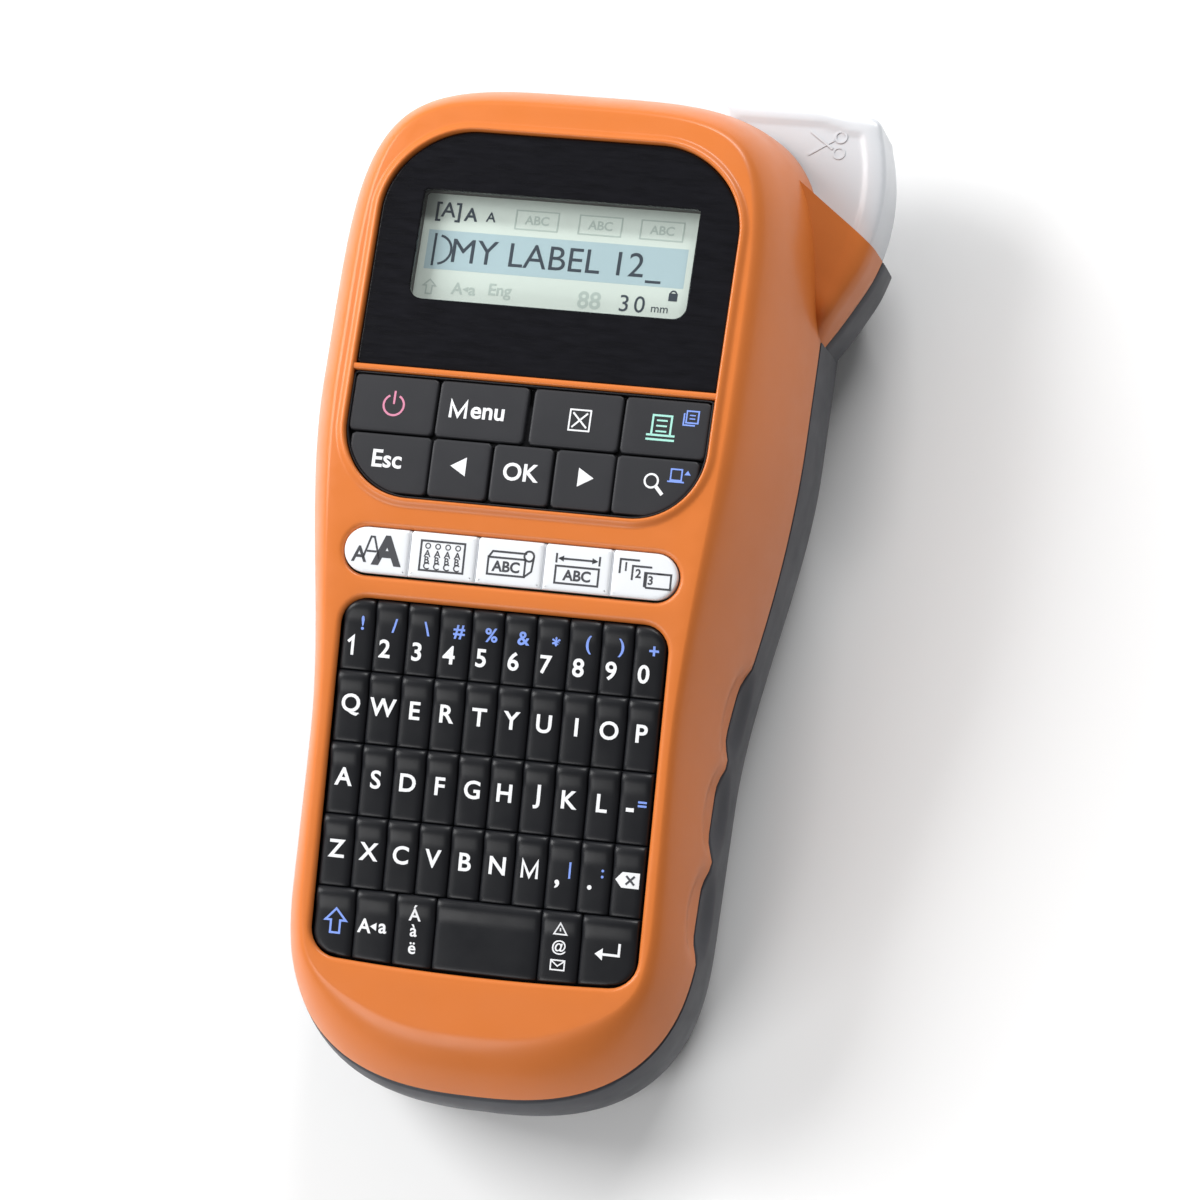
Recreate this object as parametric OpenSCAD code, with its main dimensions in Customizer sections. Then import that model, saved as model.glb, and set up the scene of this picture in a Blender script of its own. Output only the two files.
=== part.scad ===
// Hand-held label maker with a letter keypad, a tape cassette and a side cutter lever.
// It lies on its back: +X is to the right, +Y towards the display end, +Z out of the front face.

/* [Body] */
// Width across the display end
body_top_w = 101; // [100:0.5:102]
// Width across the keypad end
body_low_w = 85; // [84:0.5:86]
// Distance from the middle to the top end
top_reach = 104; // [103.5:0.5:104.5]
// Distance from the middle to the bottom end
low_reach = 103.6; // [103.4:0.2:104]
// Height of the front face at the display
face_h = 59.2; // [58.8:0.2:59.6]
// Height of the seam between front shell and rear case
seam_z = 18; // [17.8:0.1:18.2]
// How far the front face is set in from the sides at the display
face_inset = 10.4; // [10:0.2:10.6]
// How far the front face is set in from the sides at the keypad
key_inset = 6.8; // [6.6:0.1:7]
// Wall thickness of the moulded shells
wall = 2.2; // [2:0.1:2.3]

/* [Keypad] */
// Slope of the keypad face in degrees
key_slope = 12; // [11.5:0.5:12.5]
// Width of one letter key with its share of the gap
key_pitch = 6.66; // [6.6:0.02:6.7]
// Height of one letter row with its share of the gap
row_pitch = 14.4; // [14.3:0.1:14.5]
// Gap between neighbouring keys
key_gap = 0.3; // [0.2:0.05:0.4]
// Thickness of a key cap
key_h = 2.8; // [2.6:0.1:3]
// Travel of a key
key_travel = 0.8; // [0.5:0.1:0.9]

/* [Display] */
// Width of the window and function pad
shield_w = 74.6; // [74:0.2:75]
// Width of the screen
lcd_w = 56; // [54:1:57]
// Height of the screen
lcd_l = 21.8; // [21:0.2:22.4]

/* [Cutter] */
// Radius of the lever's outer edge about its pivot
lever_r = 42; // [41.5:0.25:42]
// Thickness of the lever's grip
lever_t = 14.4; // [13:0.2:14.6]
// Diameter of the lever's pin
lever_pin_d = 4; // [3.6:0.1:4]

/* [Printing] */
// Width of the label tape
tape_w = 12; // [9:1:12]
// Radius of the platen roller
platen_r = 4; // [3.6:0.1:4.1]
// Tooth module of the gear train
gear_m = 0.5; // [0.5:0.5:0.5]

/* [Hidden] */

$fn = 48;
eps = 0.01;

// Outline of the body: a width that changes along Y, closed by rounded ends
taper_y0 = -36;
taper_y1 = 36;
low_c = -63.4;
top_c = 46.5;
low_round = 2.6;
top_round = 3.8;
side_n = 30;

function clamp01(t) = min(1, max(0, t));
function smooth(t) = let (u = clamp01(t)) u * u * (3 - 2 * u);
function close_end(t, n) = pow(max(0, 1 - pow(clamp01(t), n)), 1 / n);
function half_w(y) =
    (body_low_w + (body_top_w - body_low_w) * smooth((y - taper_y0) / (taper_y1 - taper_y0))) / 2
    * close_end((low_c - y) / (low_reach + low_c), low_round)
    * close_end((y - top_c) / (top_reach - top_c), top_round);
function ring_y(i) = -low_reach + (top_reach + low_reach) * (1 - cos(180 * i / side_n)) / 2;
function rim(i) = let (k = (i + 2 * side_n) % (2 * side_n))
    k <= side_n ? [half_w(ring_y(k)), ring_y(k)] : [-half_w(ring_y(2 * side_n - k)), ring_y(2 * side_n - k)];
function inward(i) = let (d = rim(i + 1) - rim(i - 1)) [-d[1], d[0]] / norm(d);
function inset_rim(inset) = [for (i = [0 : 2 * side_n - 1]) rim(i) + inset * inward(i)];

// Height and slope of the front face: flat at the display, curved, then the keypad slope
bend_y0 = -8;
bend_y1 = 36;
bend_rise = tan(key_slope) * (bend_y1 - bend_y0) / 2;
bend_z0 = face_h - bend_rise;
function bend_t(y) = clamp01((y - bend_y0) / (bend_y1 - bend_y0));
function face_z(y) = y < bend_y0
    ? bend_z0 + (y - bend_y0) * tan(key_slope)
    : bend_z0 + 2 * bend_rise * (bend_t(y) - bend_t(y) * bend_t(y) / 2);
function face_slope(y) = atan(tan(key_slope) * (1 - bend_t(y)));

// Closed skin through stacked rings of 2 * side_n points
module skin(rings) {
    n = 2 * side_n;
    last = (len(rings) - 1) * n;
    points = [for (r = rings) each r];
    sides = [for (k = [0 : len(rings) - 2]) for (i = [0 : n - 1]) let (
        a = k * n + i,
        b = k * n + (i + 1) % n
    ) each [[a, a + n, b + n], [a, b + n, b]]];
    strip = [for (i = [0 : side_n - 1]) each [
        if (i < side_n - 1) [i, i + 1, (n - i - 1) % n],
        if (i > 0) [i, (n - i - 1) % n, (n - i) % n]
    ]];
    base = strip;
    cap = [for (f = strip) [f[2] + last, f[1] + last, f[0] + last]];
    polyhedron(points = points, faces = concat(sides, base, cap), convexity = 6);
}

function lifted(outline, z) = [for (p = outline) [p[0], p[1], z]];
shell_steps = 7;
shell_pow = 1.2;
// Set-in of the front face beside a rim point at height y, larger again round the bottom end
low_end_inset = 5.5;
function inset_at(y) = key_inset + (face_inset - key_inset) * smooth((y - taper_y0) / (taper_y1 - taper_y0))
    + low_end_inset * smooth((-78 - y) / 24);
// Rings of the front shell, thinned by a wall thickness t
function front_rings(t, z0) = [for (k = [0 : shell_steps]) let (
    a = 90 * k / shell_steps,
    share = 1 - pow(max(0, cos(a)), shell_pow)
) [for (i = [0 : 2 * side_n - 1]) let (p = rim(i) + (t + inset_at(rim(i)[1]) * share) * inward(i))
    [p[0], p[1], z0 + (face_z(p[1]) - t - z0) * sin(a)]]];

module front_solid(t) {
    skin(front_rings(t, seam_z));
}

// Places children on the front face at height y, with their own Z along the face normal
module on_face(y) {
    translate([0, y, face_z(y)]) rotate([face_slope(y), 0, 0]) children();
}

module rounded(w, l, r) {
    union() {
        square([w - 2 * r, l], center = true);
        square([w, l - 2 * r], center = true);
        for (x = [-1, 1], y = [-1, 1])
            translate([x * (w / 2 - r), y * (l / 2 - r)]) circle(r);
    }
}

module block(w, l, h, r) {
    linear_extrude(h) rounded(w, l, r);
}

// Flared cut: a prism that widens by flare towards the outside
module flared_cut(w, l, r, flare, depth) {
    translate([0, 0, -depth]) block(w, l, depth + 3, r);
    hull() {
        translate([0, 0, -flare]) block(w, l, eps, r);
        translate([0, 0, eps]) block(w + 2 * flare, l + 2 * flare, eps, r + flare);
    }
}

// Places on the front face
pad_y = -44.5;
pad_rows = 5;
pad_cols = 10;
pad_w = pad_cols * key_pitch + 0.9;
pad_l = pad_rows * row_pitch + 0.8;
pad_r = 5.5;
strip_y = 0.2;
strip_w = 69.2;
strip_l = 9.8;
divider_y = 36.9;
window_top = 88;
window_r = 18;
func_low = 11;
func_r = 14.5;
lcd_y = 63.4;
lip = 0.8;
window_l = window_top - divider_y - 0.6;
window_y = window_top - window_l / 2;
func_l = divider_y - 0.6 - func_low;
func_y = func_low + func_l / 2;

// Rounded rectangle with square corners on one side
module half_rounded(w, l, r, side) {
    intersection() {
        square([w, l], center = true);
        union() {
            square([w - 2 * r, l], center = true);
            translate([0, side * r / 2]) square([w, l - r], center = true);
            for (x = [-1, 1]) translate([x * (w / 2 - r), -side * (l / 2 - r)]) circle(r);
        }
    }
}

module window_outline(grow) {
    translate([0, window_y]) half_rounded(shield_w + 2 * grow, window_l + 2 * grow, window_r + grow, -1);
}

module function_outline(grow) {
    translate([0, func_y]) half_rounded(shield_w + 2 * grow, func_l + 2 * grow, func_r + grow, 1);
}

// Slab that follows the front face, from lo to hi along Z
module face_slab(lo, hi, y0, y1) {
    n = 10;
    ys = [for (i = [0 : n]) y0 + (y1 - y0) * i / n];
    low_edge = [for (y = ys) [y, face_z(y) + lo]];
    high_edge = [for (i = [n : -1 : 0]) [ys[i], face_z(ys[i]) + hi]];
    rotate([90, 0, 90]) linear_extrude(2 * shield_w, center = true) polygon(concat(low_edge, high_edge));
}

// Cutter lever: pivot, levels and the notch it moves in
pivot = [17.5, 88.5];
lever_z = 18.8;
lever_arm_z = 25;
lever_arm_t = 6;
lever_hub_r = 5.5;
notch_x = 22.6;
notch_low = 65;
notch_top = lever_z + lever_t + 0.4;

module lever_notch(z0) {
    translate([0, 0, z0]) linear_extrude(notch_top - z0) union() {
        translate([notch_x, pivot[1] - 7]) square([60, 40]);
        intersection() {
            translate(pivot) circle(lever_r + 0.4);
            translate([34, notch_low]) square([60, 40]);
        }
    }
}

// Shoulder that shrouds the lever's lower end, half in each shell
shoulder_top = notch_top + 1.6;
shoulder_edge = [[48.6, 56.5], [54.4, 65], [58, 71.5], [59.6, 76.4]];
shoulder_ridge = [[46, 58.5], [51.4, 66], [54.6, 71.5], [56.2, 76.2]];
shoulder_root = [[43, 57], [43, 88]];
shoulder_r = 1.2;

module stub(at, z0, z1) {
    translate([at[0], at[1], z0]) cylinder(r = shoulder_r, h = z1 - z0, $fn = 16);
}
module shoulder_front() {
    z0 = seam_z;
    hull() {
        for (p = shoulder_edge) stub([p[0] - shoulder_r, p[1]], z0, z0 + 3);
        for (p = shoulder_ridge) stub([p[0] - shoulder_r, p[1]], z0, shoulder_top);
        stub(shoulder_root[0], z0, shoulder_top);
        stub(shoulder_root[1], z0, shoulder_top + 7);
    }
}
module shoulder_rear() {
    hull() {
        for (p = shoulder_edge) stub([p[0] - shoulder_r, p[1]], 10, seam_z);
        for (p = shoulder_edge) stub([p[0] - 6, p[1]], 3, 5);
        for (p = shoulder_root) stub(p, 3, seam_z);
    }
}

// Lens-shaped finger scallops across the seam on both sides
scallop_y = [-19.5, -40, -60.5];
module scallops() {
    for (y = scallop_y, s = [-1, 1])
        hull() for (dy = [-6.4, 6.4])
            translate([s * (half_w(y) + 8.4), y + dy, seam_z + 1]) sphere(r = 9.6, $fn = 18);
}

// Screws: the first four join the shells, the last two hold the chassis
deck_z = 15.4;
deck_t = 2;
chassis_z = 21.5;
chassis_t = 2;
shell_screws = [[-28, -90], [28, -90], [-39.5, 0], [39.5, 0]];
chassis_screws = [[-43, 60], [43, 52]];
boss_r = 3;
screw_r = 1.25;

module boss(at, z0) {
    intersection() {
        translate([at[0], at[1], z0]) cylinder(r = boss_r, h = 45, $fn = 20);
        front_solid(0.4);
    }
}

module front_shell() {
    color([0.83, 0.42, 0.18]) difference() {
        union() {
            difference() {
                union() {
                    front_solid(0);
                    shoulder_front();
                    // Raised lip round the window and the function pad
                    intersection() {
                        linear_extrude(80) union() {
                            window_outline(2);
                            function_outline(2);
                        }
                        face_slab(-1, lip, func_low - 4, window_top + 4);
                    }
                }
                skin(concat([lifted(inset_rim(wall), seam_z - 1)], front_rings(wall, seam_z)));
                translate([0, 0, 30]) linear_extrude(40) window_outline(0);
                translate([0, 0, 30]) linear_extrude(40) function_outline(0);
                on_face(strip_y) flared_cut(strip_w, strip_l, strip_l / 2 - 0.01, 0.4, 6);
                on_face(pad_y) flared_cut(pad_w, pad_l, pad_r, 0.8, 8);
            }
            for (at = shell_screws) boss(at, seam_z);
            for (at = chassis_screws) boss(at, chassis_z + chassis_t);
        }
        lever_notch(seam_z - 1);
        for (at = concat(shell_screws, chassis_screws))
            translate([at[0], at[1], seam_z - 2]) cylinder(r = screw_r + 0.05, h = 16, $fn = 16);
        scallops();
    }
}

// Rear case: side walls, battery deck, cover ledge
floor_t = 2.2;
cover_t = 2;
cover_inset = 8.6;
cover_gap = 0.3;
rear_steps = 4;
rear_inset = 6;
bulkhead_y = 12;
function rear_rings(t, z0) = [for (k = [0 : rear_steps]) let (a = 90 * k / rear_steps)
    lifted(inset_rim(t + rear_inset * (1 - sin(a))), z0 + (seam_z - z0) * (1 - cos(a)))];

cell_r = 5.25;
cell_l = 44.5;
cell_pitch = 12.5;
cell_z = 8.6;
cell_y = [-91.4, -45.6];

module rear_case() {
    color([0.21, 0.22, 0.25]) difference() {
        union() {
            difference() {
                union() {
                    skin(rear_rings(0, 0));
                    shoulder_rear();
                }
                skin(concat(rear_rings(wall, floor_t), [lifted(inset_rim(wall), seam_z + 1)]));
                translate([0, 0, -1]) linear_extrude(8) polygon(inset_rim(cover_inset));
            }
            // Ledge that the back cover seats on
            difference() {
                translate([0, 0, cover_t]) linear_extrude(0.9) polygon(inset_rim(rear_inset - 1));
                translate([0, 0, cover_t - 1]) linear_extrude(1 + cover_gap) polygon(inset_rim(cover_inset));
                translate([0, 0, 0]) linear_extrude(9) polygon(inset_rim(cover_inset + 1.8));
            }
            // Deck over the battery bay, with a bulkhead towards the cassette bay
            intersection() {
                union() {
                    translate([-60, -110, deck_z]) cube([120, 110 + bulkhead_y, deck_t]);
                    translate([-60, bulkhead_y - 1.6, 2.6]) cube([120, 1.6, deck_z - 2]);
                    for (y = cell_y, dy = [4, cell_l - 6]) cell_saddle(y + dy);
                }
                skin(rear_rings(1, 1));
            }
        }
        lever_notch(seam_z + 0.4);
        // Pocket for the blade guide in the top wall
        translate([3.1, 94.7, tape_z - 0.8]) cube([16, 5.9, 20]);
        for (at = shell_screws) translate([at[0], at[1],
                deck_z - 1]) cylinder(r = screw_r + 0.2, h = 5, $fn = 16);
        // Tape exit in the top end
        translate([tape_x - 1.3, top_reach - 8, tape_z - 0.8]) cube([2.6, 12, tape_w + 1.6]);
        // Adapter inlet in the bottom end
        translate([jack_x, -low_reach + 6, jack_z]) rotate([90, 0, 0]) cylinder(r = jack_nose_r + 0.3, h = 12, $fn = 32);
        scallops();
    }
}

// Saddle under the deck that locates the three cells of one row
module cell_saddle(y) {
    difference() {
        hull() {
            translate([-cell_pitch * 1.5 - 2, y, cell_z + 1]) cube([cell_pitch * 3 + 4, 1.6, 1]);
            translate([-cell_pitch * 1.5, y, deck_z]) cube([cell_pitch * 3, 1.6, 1]);
        }
        for (x = [-1 : 1]) translate([x * cell_pitch, y - 1, cell_z])
            rotate([-90, 0, 0]) cylinder(r = cell_r + 0.3, h = 4, $fn = 24);
    }
}

module back_cover() {
    color([0.20, 0.21, 0.24]) difference() {
        union() {
            linear_extrude(cover_t) polygon(inset_rim(cover_inset + cover_gap));
            for (y = [-72, -30]) translate([-15, y, cover_t - eps]) cube([30, 1.2, 0.9]);
        }
        translate([0, -86, -1]) linear_extrude(1.8) rounded(24, 6, 2.9);
    }
}

module screw(at, z) {
    translate([at[0], at[1], z]) difference() {
        union() {
            translate([0, 0, -1.8]) cylinder(r = 2.3, h = 1.8);
            cylinder(r = screw_r, h = 9);
        }
        for (a = [0, 90]) rotate(a) translate([-1.3, -0.3, -2]) cube([2.6, 0.6, 1]);
    }
}

module case_screws() {
    color("silver") {
        for (at = shell_screws) screw(at, deck_z);
        for (at = chassis_screws) screw(at, chassis_z);
    }
}

// Display
module display_window() {
    color([0.5, 0.55, 0.6, 0.4]) translate([0, 0, face_h - 1.7]) linear_extrude(1.4) window_outline(-0.15);
}

lcd_glass_t = 2;
lcd_z = face_h - 6.4;
module lcd_panel() {
    color([0.72, 0.78, 0.76]) translate([0, lcd_y, lcd_z]) block(lcd_w + 6, lcd_l + 5, lcd_glass_t, 0.8);
}

module lcd_holder() {
    color([0.10, 0.09, 0.09]) translate([0, lcd_y, 0]) difference() {
        translate([0, 0, lcd_z - 1.4]) block(lcd_w + 10, lcd_l + 9, face_h - 1.9 - lcd_z + 1.4, 1.5);
        translate([0, 0, lcd_z - 0.05]) block(lcd_w + 6.1, lcd_l + 5.1, lcd_glass_t + 0.1, 0.8);
        translate([0, 0, lcd_z + 1]) block(lcd_w + 2, lcd_l + 2, 9, 0.8);
        translate([0, 0, lcd_z - 3]) block(lcd_w - 8, lcd_l - 6, 9, 0.8);
    }
}

display_board_z = lcd_z - 3.1;
module display_board() {
    color([0.12, 0.35, 0.18]) difference() {
        translate([0, 48, display_board_z]) block(68, 70, 1.6, 3);
        for (x = [-1, 1],
                y = [18, 79]) translate([x * 30, y, display_board_z - 1]) cylinder(r = 1.4, h = 4);
    }
}

// Keypad layers, measured down from the front face
mat_drop = key_h + key_travel + 0.4;
mat_t = 1;
board_t = 1.6;

module keypad_mat() {
    color([0.16, 0.16, 0.18]) on_face(pad_y) difference() {
        translate([0, 0, -mat_drop - mat_t]) block(pad_w + 1, pad_l + 0.8, mat_t, 5.5);
        for (x = [-1, 1]) translate([x * (pad_w / 2 - 0.5), 0, -mat_drop - 2]) cylinder(r = 0.6, h = 4);
    }
}

module key_board() {
    color([0.12, 0.35, 0.18]) on_face(pad_y) difference() {
        translate([0, 6, -mat_drop - mat_t - board_t]) block(pad_w, pad_l + 11, board_t, 5);
        for (x = [-1, 1], y = [-28, 0, 28]) translate([x * 33, y, -mat_drop - 4]) cylinder(r = 0.6, h = 8);
    }
}

// Function pad: a rubber border with nine keys in it
func_key_drop = 0.3;
func_row_y = [29.9, 17.7];
func_row_l = [11.2, 11.4];
func_top_x = [-28, -9.7, 9.7, 28];
func_top_w = [17.4, 18.4, 18.4, 17.4];
func_low_x = [-27.5, -12.7, 0, 12.7, 27.5];
func_low_w = [16.4, 11.8, 11.8, 11.8, 16.4];

module func_key(x, w, row, grow) {
    y = func_row_y[row];
    h = key_h - 0.4;
    intersection() {
        on_face(y) translate([x, 0, -func_key_drop - h - (grow > 0 ? 4 : 0)])
            block(w + 2 * grow, func_row_l[row] + 2 * grow, h + (grow > 0 ? 8 : 0), 1.6);
        linear_extrude(80) function_outline(grow - 1.1);
    }
}

module function_mat() {
    color([0.20, 0.20, 0.22]) difference() {
        intersection() {
            linear_extrude(80) function_outline(-0.15);
            face_slab(-2.2, -0.3, func_low - 2, divider_y + 2);
        }
        for (i = [0 : 3]) func_key(func_top_x[i], func_top_w[i], 0, key_gap);
        for (i = [0 : 4]) func_key(func_low_x[i], func_low_w[i], 1, key_gap);
    }
}

module func_top_key(i) {
    color([0.20, 0.20, 0.22]) func_key(func_top_x[i], func_top_w[i], 0, 0);
}
module func_low_key(i) {
    color([0.20, 0.20, 0.22]) func_key(func_low_x[i], func_low_w[i], 1, 0);
}

// Five keys cut from one white pill
strip_cuts = [-34.6, -20.8, -6.9, 6.9, 20.8, 34.6];
module strip_key(i) {
    w = strip_cuts[i + 1] - strip_cuts[i] - key_gap;
    x = (strip_cuts[i + 1] + strip_cuts[i]) / 2;
    color([0.93, 0.93, 0.95]) on_face(strip_y) translate([0, 0, -key_h + 0.3]) linear_extrude(key_h)
        intersection() {
            rounded(strip_w - 0.6, strip_l - 0.6, strip_l / 2 - 0.31);
            translate([x, 0]) square([w, strip_l], center = true);
        }
}

// Letter keypad: rows counted from the top, columns from the left, in pitches
function row_v(row) = ((pad_rows - 1) / 2 - row) * row_pitch;
module pad_key(row, from, span) {
    x = (from + span / 2 - pad_cols / 2) * key_pitch;
    color([0.13, 0.13, 0.15]) on_face(pad_y) translate([0, 0, -key_h]) intersection() {
        translate([x, row_v(row), 0]) block(span * key_pitch - key_gap, row_pitch - key_gap, key_h, 0.7);
        block(pad_w - 0.7, pad_l - 0.7, key_h, pad_r - 0.4);
    }
}
module letter_row(row) {
    for (i = [0 : pad_cols - 1]) pad_key(row, i, 1);
}

// Cutter
lever_pin_clear = 0.05;
module cutter_lever() {
    color([0.93, 0.93, 0.95]) difference() {
        union() {
            // Grip
            translate([0, 0, lever_z]) linear_extrude(lever_t) intersection() {
                translate(pivot) circle(lever_r, $fn = 96);
                polygon([[25, 98.6], [24, 105.2], [53.4, 105.2], [57.6, 102.4], [62, 96],
                         [62, 73.2], [47.2, 73.2], [44, 84], [34, 96]]);
            }
            // Arm, hub and the finger that drives the blade
            translate([0, 0, lever_arm_z]) linear_extrude(lever_arm_t) union() {
                translate(pivot) circle(lever_hub_r);
                polygon([[17.5, 83.2], [46, 84.6], [36, 98], [26, 100], [17.5, 93.9]]);
                polygon([[17.5, 93.6], [14, 92.6], [5.6, 94], [5.6, 98.4], [3.2, 98.4],
                        [3.2, 91.6], [13, 87]]);
            }
        }
        translate([pivot[0], pivot[1], 0]) cylinder(d = lever_pin_d + 2 * lever_pin_clear, h = 60);
    }
}

pin_z0 = chassis_z;
pin_head_z = lever_arm_z + lever_arm_t + 4.6;
module lever_pin() {
    color("silver") translate([pivot[0], pivot[1], 0]) union() {
        translate([0, 0, pin_z0]) cylinder(d = lever_pin_d, h = pin_head_z - pin_z0);
        translate([0, 0, pin_head_z]) cylinder(d = lever_pin_d + 2.4, h = 0.8);
    }
}

// Torsion spring above the lever's hub: a leg, the coils and a second leg
spring_wire_r = 0.35;
spring_r = 3.4;
spring_turns = 4;
spring_rise = 0.8;
spring_leg = 9;
turn_steps = 14;
wire_sides = 6;
function coil_point(i) = let (a = 360 * i / turn_steps)
    [spring_r * cos(a), spring_r * sin(a), spring_rise * i / turn_steps];
coil_last = spring_turns * turn_steps;
spring_path = concat(
    [coil_point(0) - [0, spring_leg, 0]],
    [for (i = [0 : coil_last]) coil_point(i)],
    [coil_point(coil_last) + [0, spring_leg, 0]]
);
// Round wire along a path that stays near one level
module wire(path, r) {
    n = len(path);
    rings = [for (i = [0 : n - 1]) let (
        d = path[min(i + 1, n - 1)] - path[max(i - 1, 0)],
        side = [-d[1], d[0], 0] / norm([d[0], d[1]])
    ) each [for (k = [0 : wire_sides - 1]) let (a = 360 * k / wire_sides)
        path[i] + r * (cos(a) * side + sin(a) * [0, 0, 1])]];
    walls = [for (i = [0 : n - 2]) for (k = [0 : wire_sides - 1]) let (
        a = i * wire_sides + k,
        b = i * wire_sides + (k + 1) % wire_sides
    ) each [[a, b, b + wire_sides], [a, b + wire_sides, a + wire_sides]]];
    first = [for (k = [wire_sides - 1 : -1 : 0]) k];
    last = [for (k = [0 : wire_sides - 1]) (n - 1) * wire_sides + k];
    polyhedron(points = rings, faces = concat(walls, [first, last]), convexity = 8);
}
module lever_spring() {
    color("silver") translate([pivot[0], pivot[1],
            lever_arm_z + lever_arm_t + 0.6]) wire(spring_path, spring_wire_r);
}

tape_x = 14;
tape_z = 4.5;
tape_t = 0.3;
tape_end = 97.1;
blade_y = 97.8;
carrier_x = 4;
carrier_w = 7.5;
carrier_y = 96.4;
carrier_l = 2.8;
module blade_carrier() {
    color([0.85, 0.85, 0.83]) union() {
        translate([carrier_x, carrier_y, tape_z - 0.3]) difference() {
            cube([carrier_w, carrier_l, tape_w + 0.6]);
            translate([carrier_w - 3, carrier_l / 2 - 0.31, -1]) cube([4, 0.62, tape_w + 3]);
        }
        translate([6, carrier_y + 0.3, tape_z + tape_w + 0.29]) cube([2, carrier_l - 0.6, 11]);
    }
}

module cutter_blade() {
    x0 = carrier_x + carrier_w - 2.95;
    x1 = tape_x - tape_t / 2 - 0.25;
    color("silver") translate([0, blade_y + 0.3, tape_z]) rotate([90, 0, 0]) linear_extrude(0.6)
        polygon([[x0, 0], [x1 - 0.9, 0], [x1, tape_w], [x0, tape_w]]);
}

// Chassis that carries the gears, the head, the lever's pin and the blade guide
platen_at = [18.3, 76];
idler_at = [3.7, 73.2];
reduction_at = [-5.4, 81];
motor_at = [-17.2, 85.1];
spindle_at = [-4.9, 58.6];
post_r = 1.5;

module inner_chassis() {
    color([0.75, 0.76, 0.78]) difference() {
        union() {
            translate([-44, 14, chassis_z]) cube([84, 70, chassis_t]);
            translate([36, 40, chassis_z]) cube([11, 22, chassis_t]);
            translate([-47, 50, chassis_z]) cube([6, 20, chassis_t]);
            translate([12.4, 82, chassis_z]) cube([11.6, 18.4, chassis_t]);
            translate([-28, 82, chassis_z]) cube([22, 13, chassis_t]);
            // Fixed posts of the reduction and idler gears
            for (at = [reduction_at, idler_at]) translate([at[0], at[1],
                    chassis_z]) cylinder(r = post_r, h = 8);
            // Anvil and the two cheeks that guide the blade carrier
            translate([15.8, 95.4, tape_z - 0.5]) cube([3, 4.9, chassis_z - tape_z + 1]);
            for (y = [95.4, 99.5]) translate([3.4, y, tape_z - 0.5]) cube([13, 0.8, chassis_z - tape_z + 0.5]);
            // Bracket behind the print head
            translate([4, 74, tape_z - 0.5]) cube([2, 6, chassis_z - tape_z + 0.5]);
            translate([4, 72.5, chassis_z - 2]) cube([9, 8, 2]);
        }
        for (y = [94, 99]) translate([tape_x - 0.9, y, 0]) cube([1.8, 2.4, tape_z + tape_w + 0.8]);
        translate([platen_at[0], platen_at[1], 0]) cylinder(r = shaft_r + 0.05, h = 40);
        translate([spindle_at[0], spindle_at[1], 0]) cylinder(r = spindle_r + 0.05, h = 40);
        translate([motor_at[0], motor_at[1], 0]) cylinder(r = 2.2, h = 40);
        translate([pivot[0], pivot[1], 0]) cylinder(d = lever_pin_d, h = 40);
        for (at = chassis_screws) translate([at[0], at[1], 0]) cylinder(r = screw_r + 0.2, h = 40);
    }
}

module print_head() {
    color([0.85, 0.82, 0.7]) union() {
        translate([11.4, 73, tape_z]) cube([1.6, 6.6, tape_w]);
        translate([13 - eps, 75.6, tape_z]) cube([0.7, 0.9, tape_w]);
    }
}

module head_sink() {
    color("silver") difference() {
        translate([6, 73, tape_z]) cube([5.4, 6.6, tape_w]);
        for (i = [0 : 3]) translate([5, 73.8 + i * 1.5, tape_z - 1]) cube([4, 0.7, tape_w + 2]);
    }
}

// Gears
platen_teeth = 24;
idler_teeth = 36;
small_teeth = 12;
large_teeth = 40;
pinion_teeth = 10;
spindle_teeth = 32;
gear_a_z = 24;
gear_b_z = 26.2;
gear_t = 1.8;

function heading(a, b) = atan2(b[1] - a[1], b[0] - a[0]);
// Turn of gear b that puts a gap of it where a tooth of gear a points
function mesh_turn(a, teeth_a, turn_a, b, teeth_b) =
    heading(a, b) + 180 - (360 / teeth_b) * (0.5 + (turn_a - heading(a, b)) * teeth_a / 360);

idler_turn = mesh_turn(platen_at, platen_teeth, 0, idler_at, idler_teeth);
small_turn = mesh_turn(idler_at, idler_teeth, idler_turn, reduction_at, small_teeth);
pinion_turn = mesh_turn(reduction_at, large_teeth, small_turn, motor_at, pinion_teeth);
spindle_turn = mesh_turn(idler_at, idler_teeth, idler_turn, spindle_at, spindle_teeth);

module gear(teeth, h) {
    r = gear_m * teeth / 2;
    tip = r + 0.7 * gear_m;
    root = r - gear_m;
    corners = [[-0.27, root], [-0.12, tip], [0.12, tip], [0.27, root]];
    linear_extrude(h) polygon([for (i = [0 : teeth - 1]) for (c = corners)
        let (a = 360 * (i + c[0]) / teeth) c[1] * [cos(a), sin(a)]]);
}

module placed_gear(at, turn, z, teeth, h) {
    translate([at[0], at[1], z]) rotate(turn) gear(teeth, h);
}

shaft_r = 1.25;
module platen_shaft() {
    color("silver") translate([platen_at[0], platen_at[1],
            3]) cylinder(r = shaft_r, h = gear_b_z + gear_t + 0.8 - 3);
}
module platen_roller() {
    color([0.18, 0.18, 0.18]) translate([platen_at[0], platen_at[1], tape_z - 0.5]) difference() {
        cylinder(r = platen_r - 0.1, h = tape_w + 1);
        translate([0, 0, -1]) cylinder(r = shaft_r, h = tape_w + 3);
    }
}
module platen_gear() {
    color([0.92, 0.90, 0.84]) difference() {
        union() {
            placed_gear(platen_at, 0, gear_b_z, platen_teeth, gear_t);
            translate([platen_at[0], platen_at[1],
                    gear_a_z]) cylinder(r = 2.6, h = gear_b_z - gear_a_z + eps);
        }
        translate([platen_at[0], platen_at[1], 0]) cylinder(r = shaft_r, h = 60);
    }
}
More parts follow.
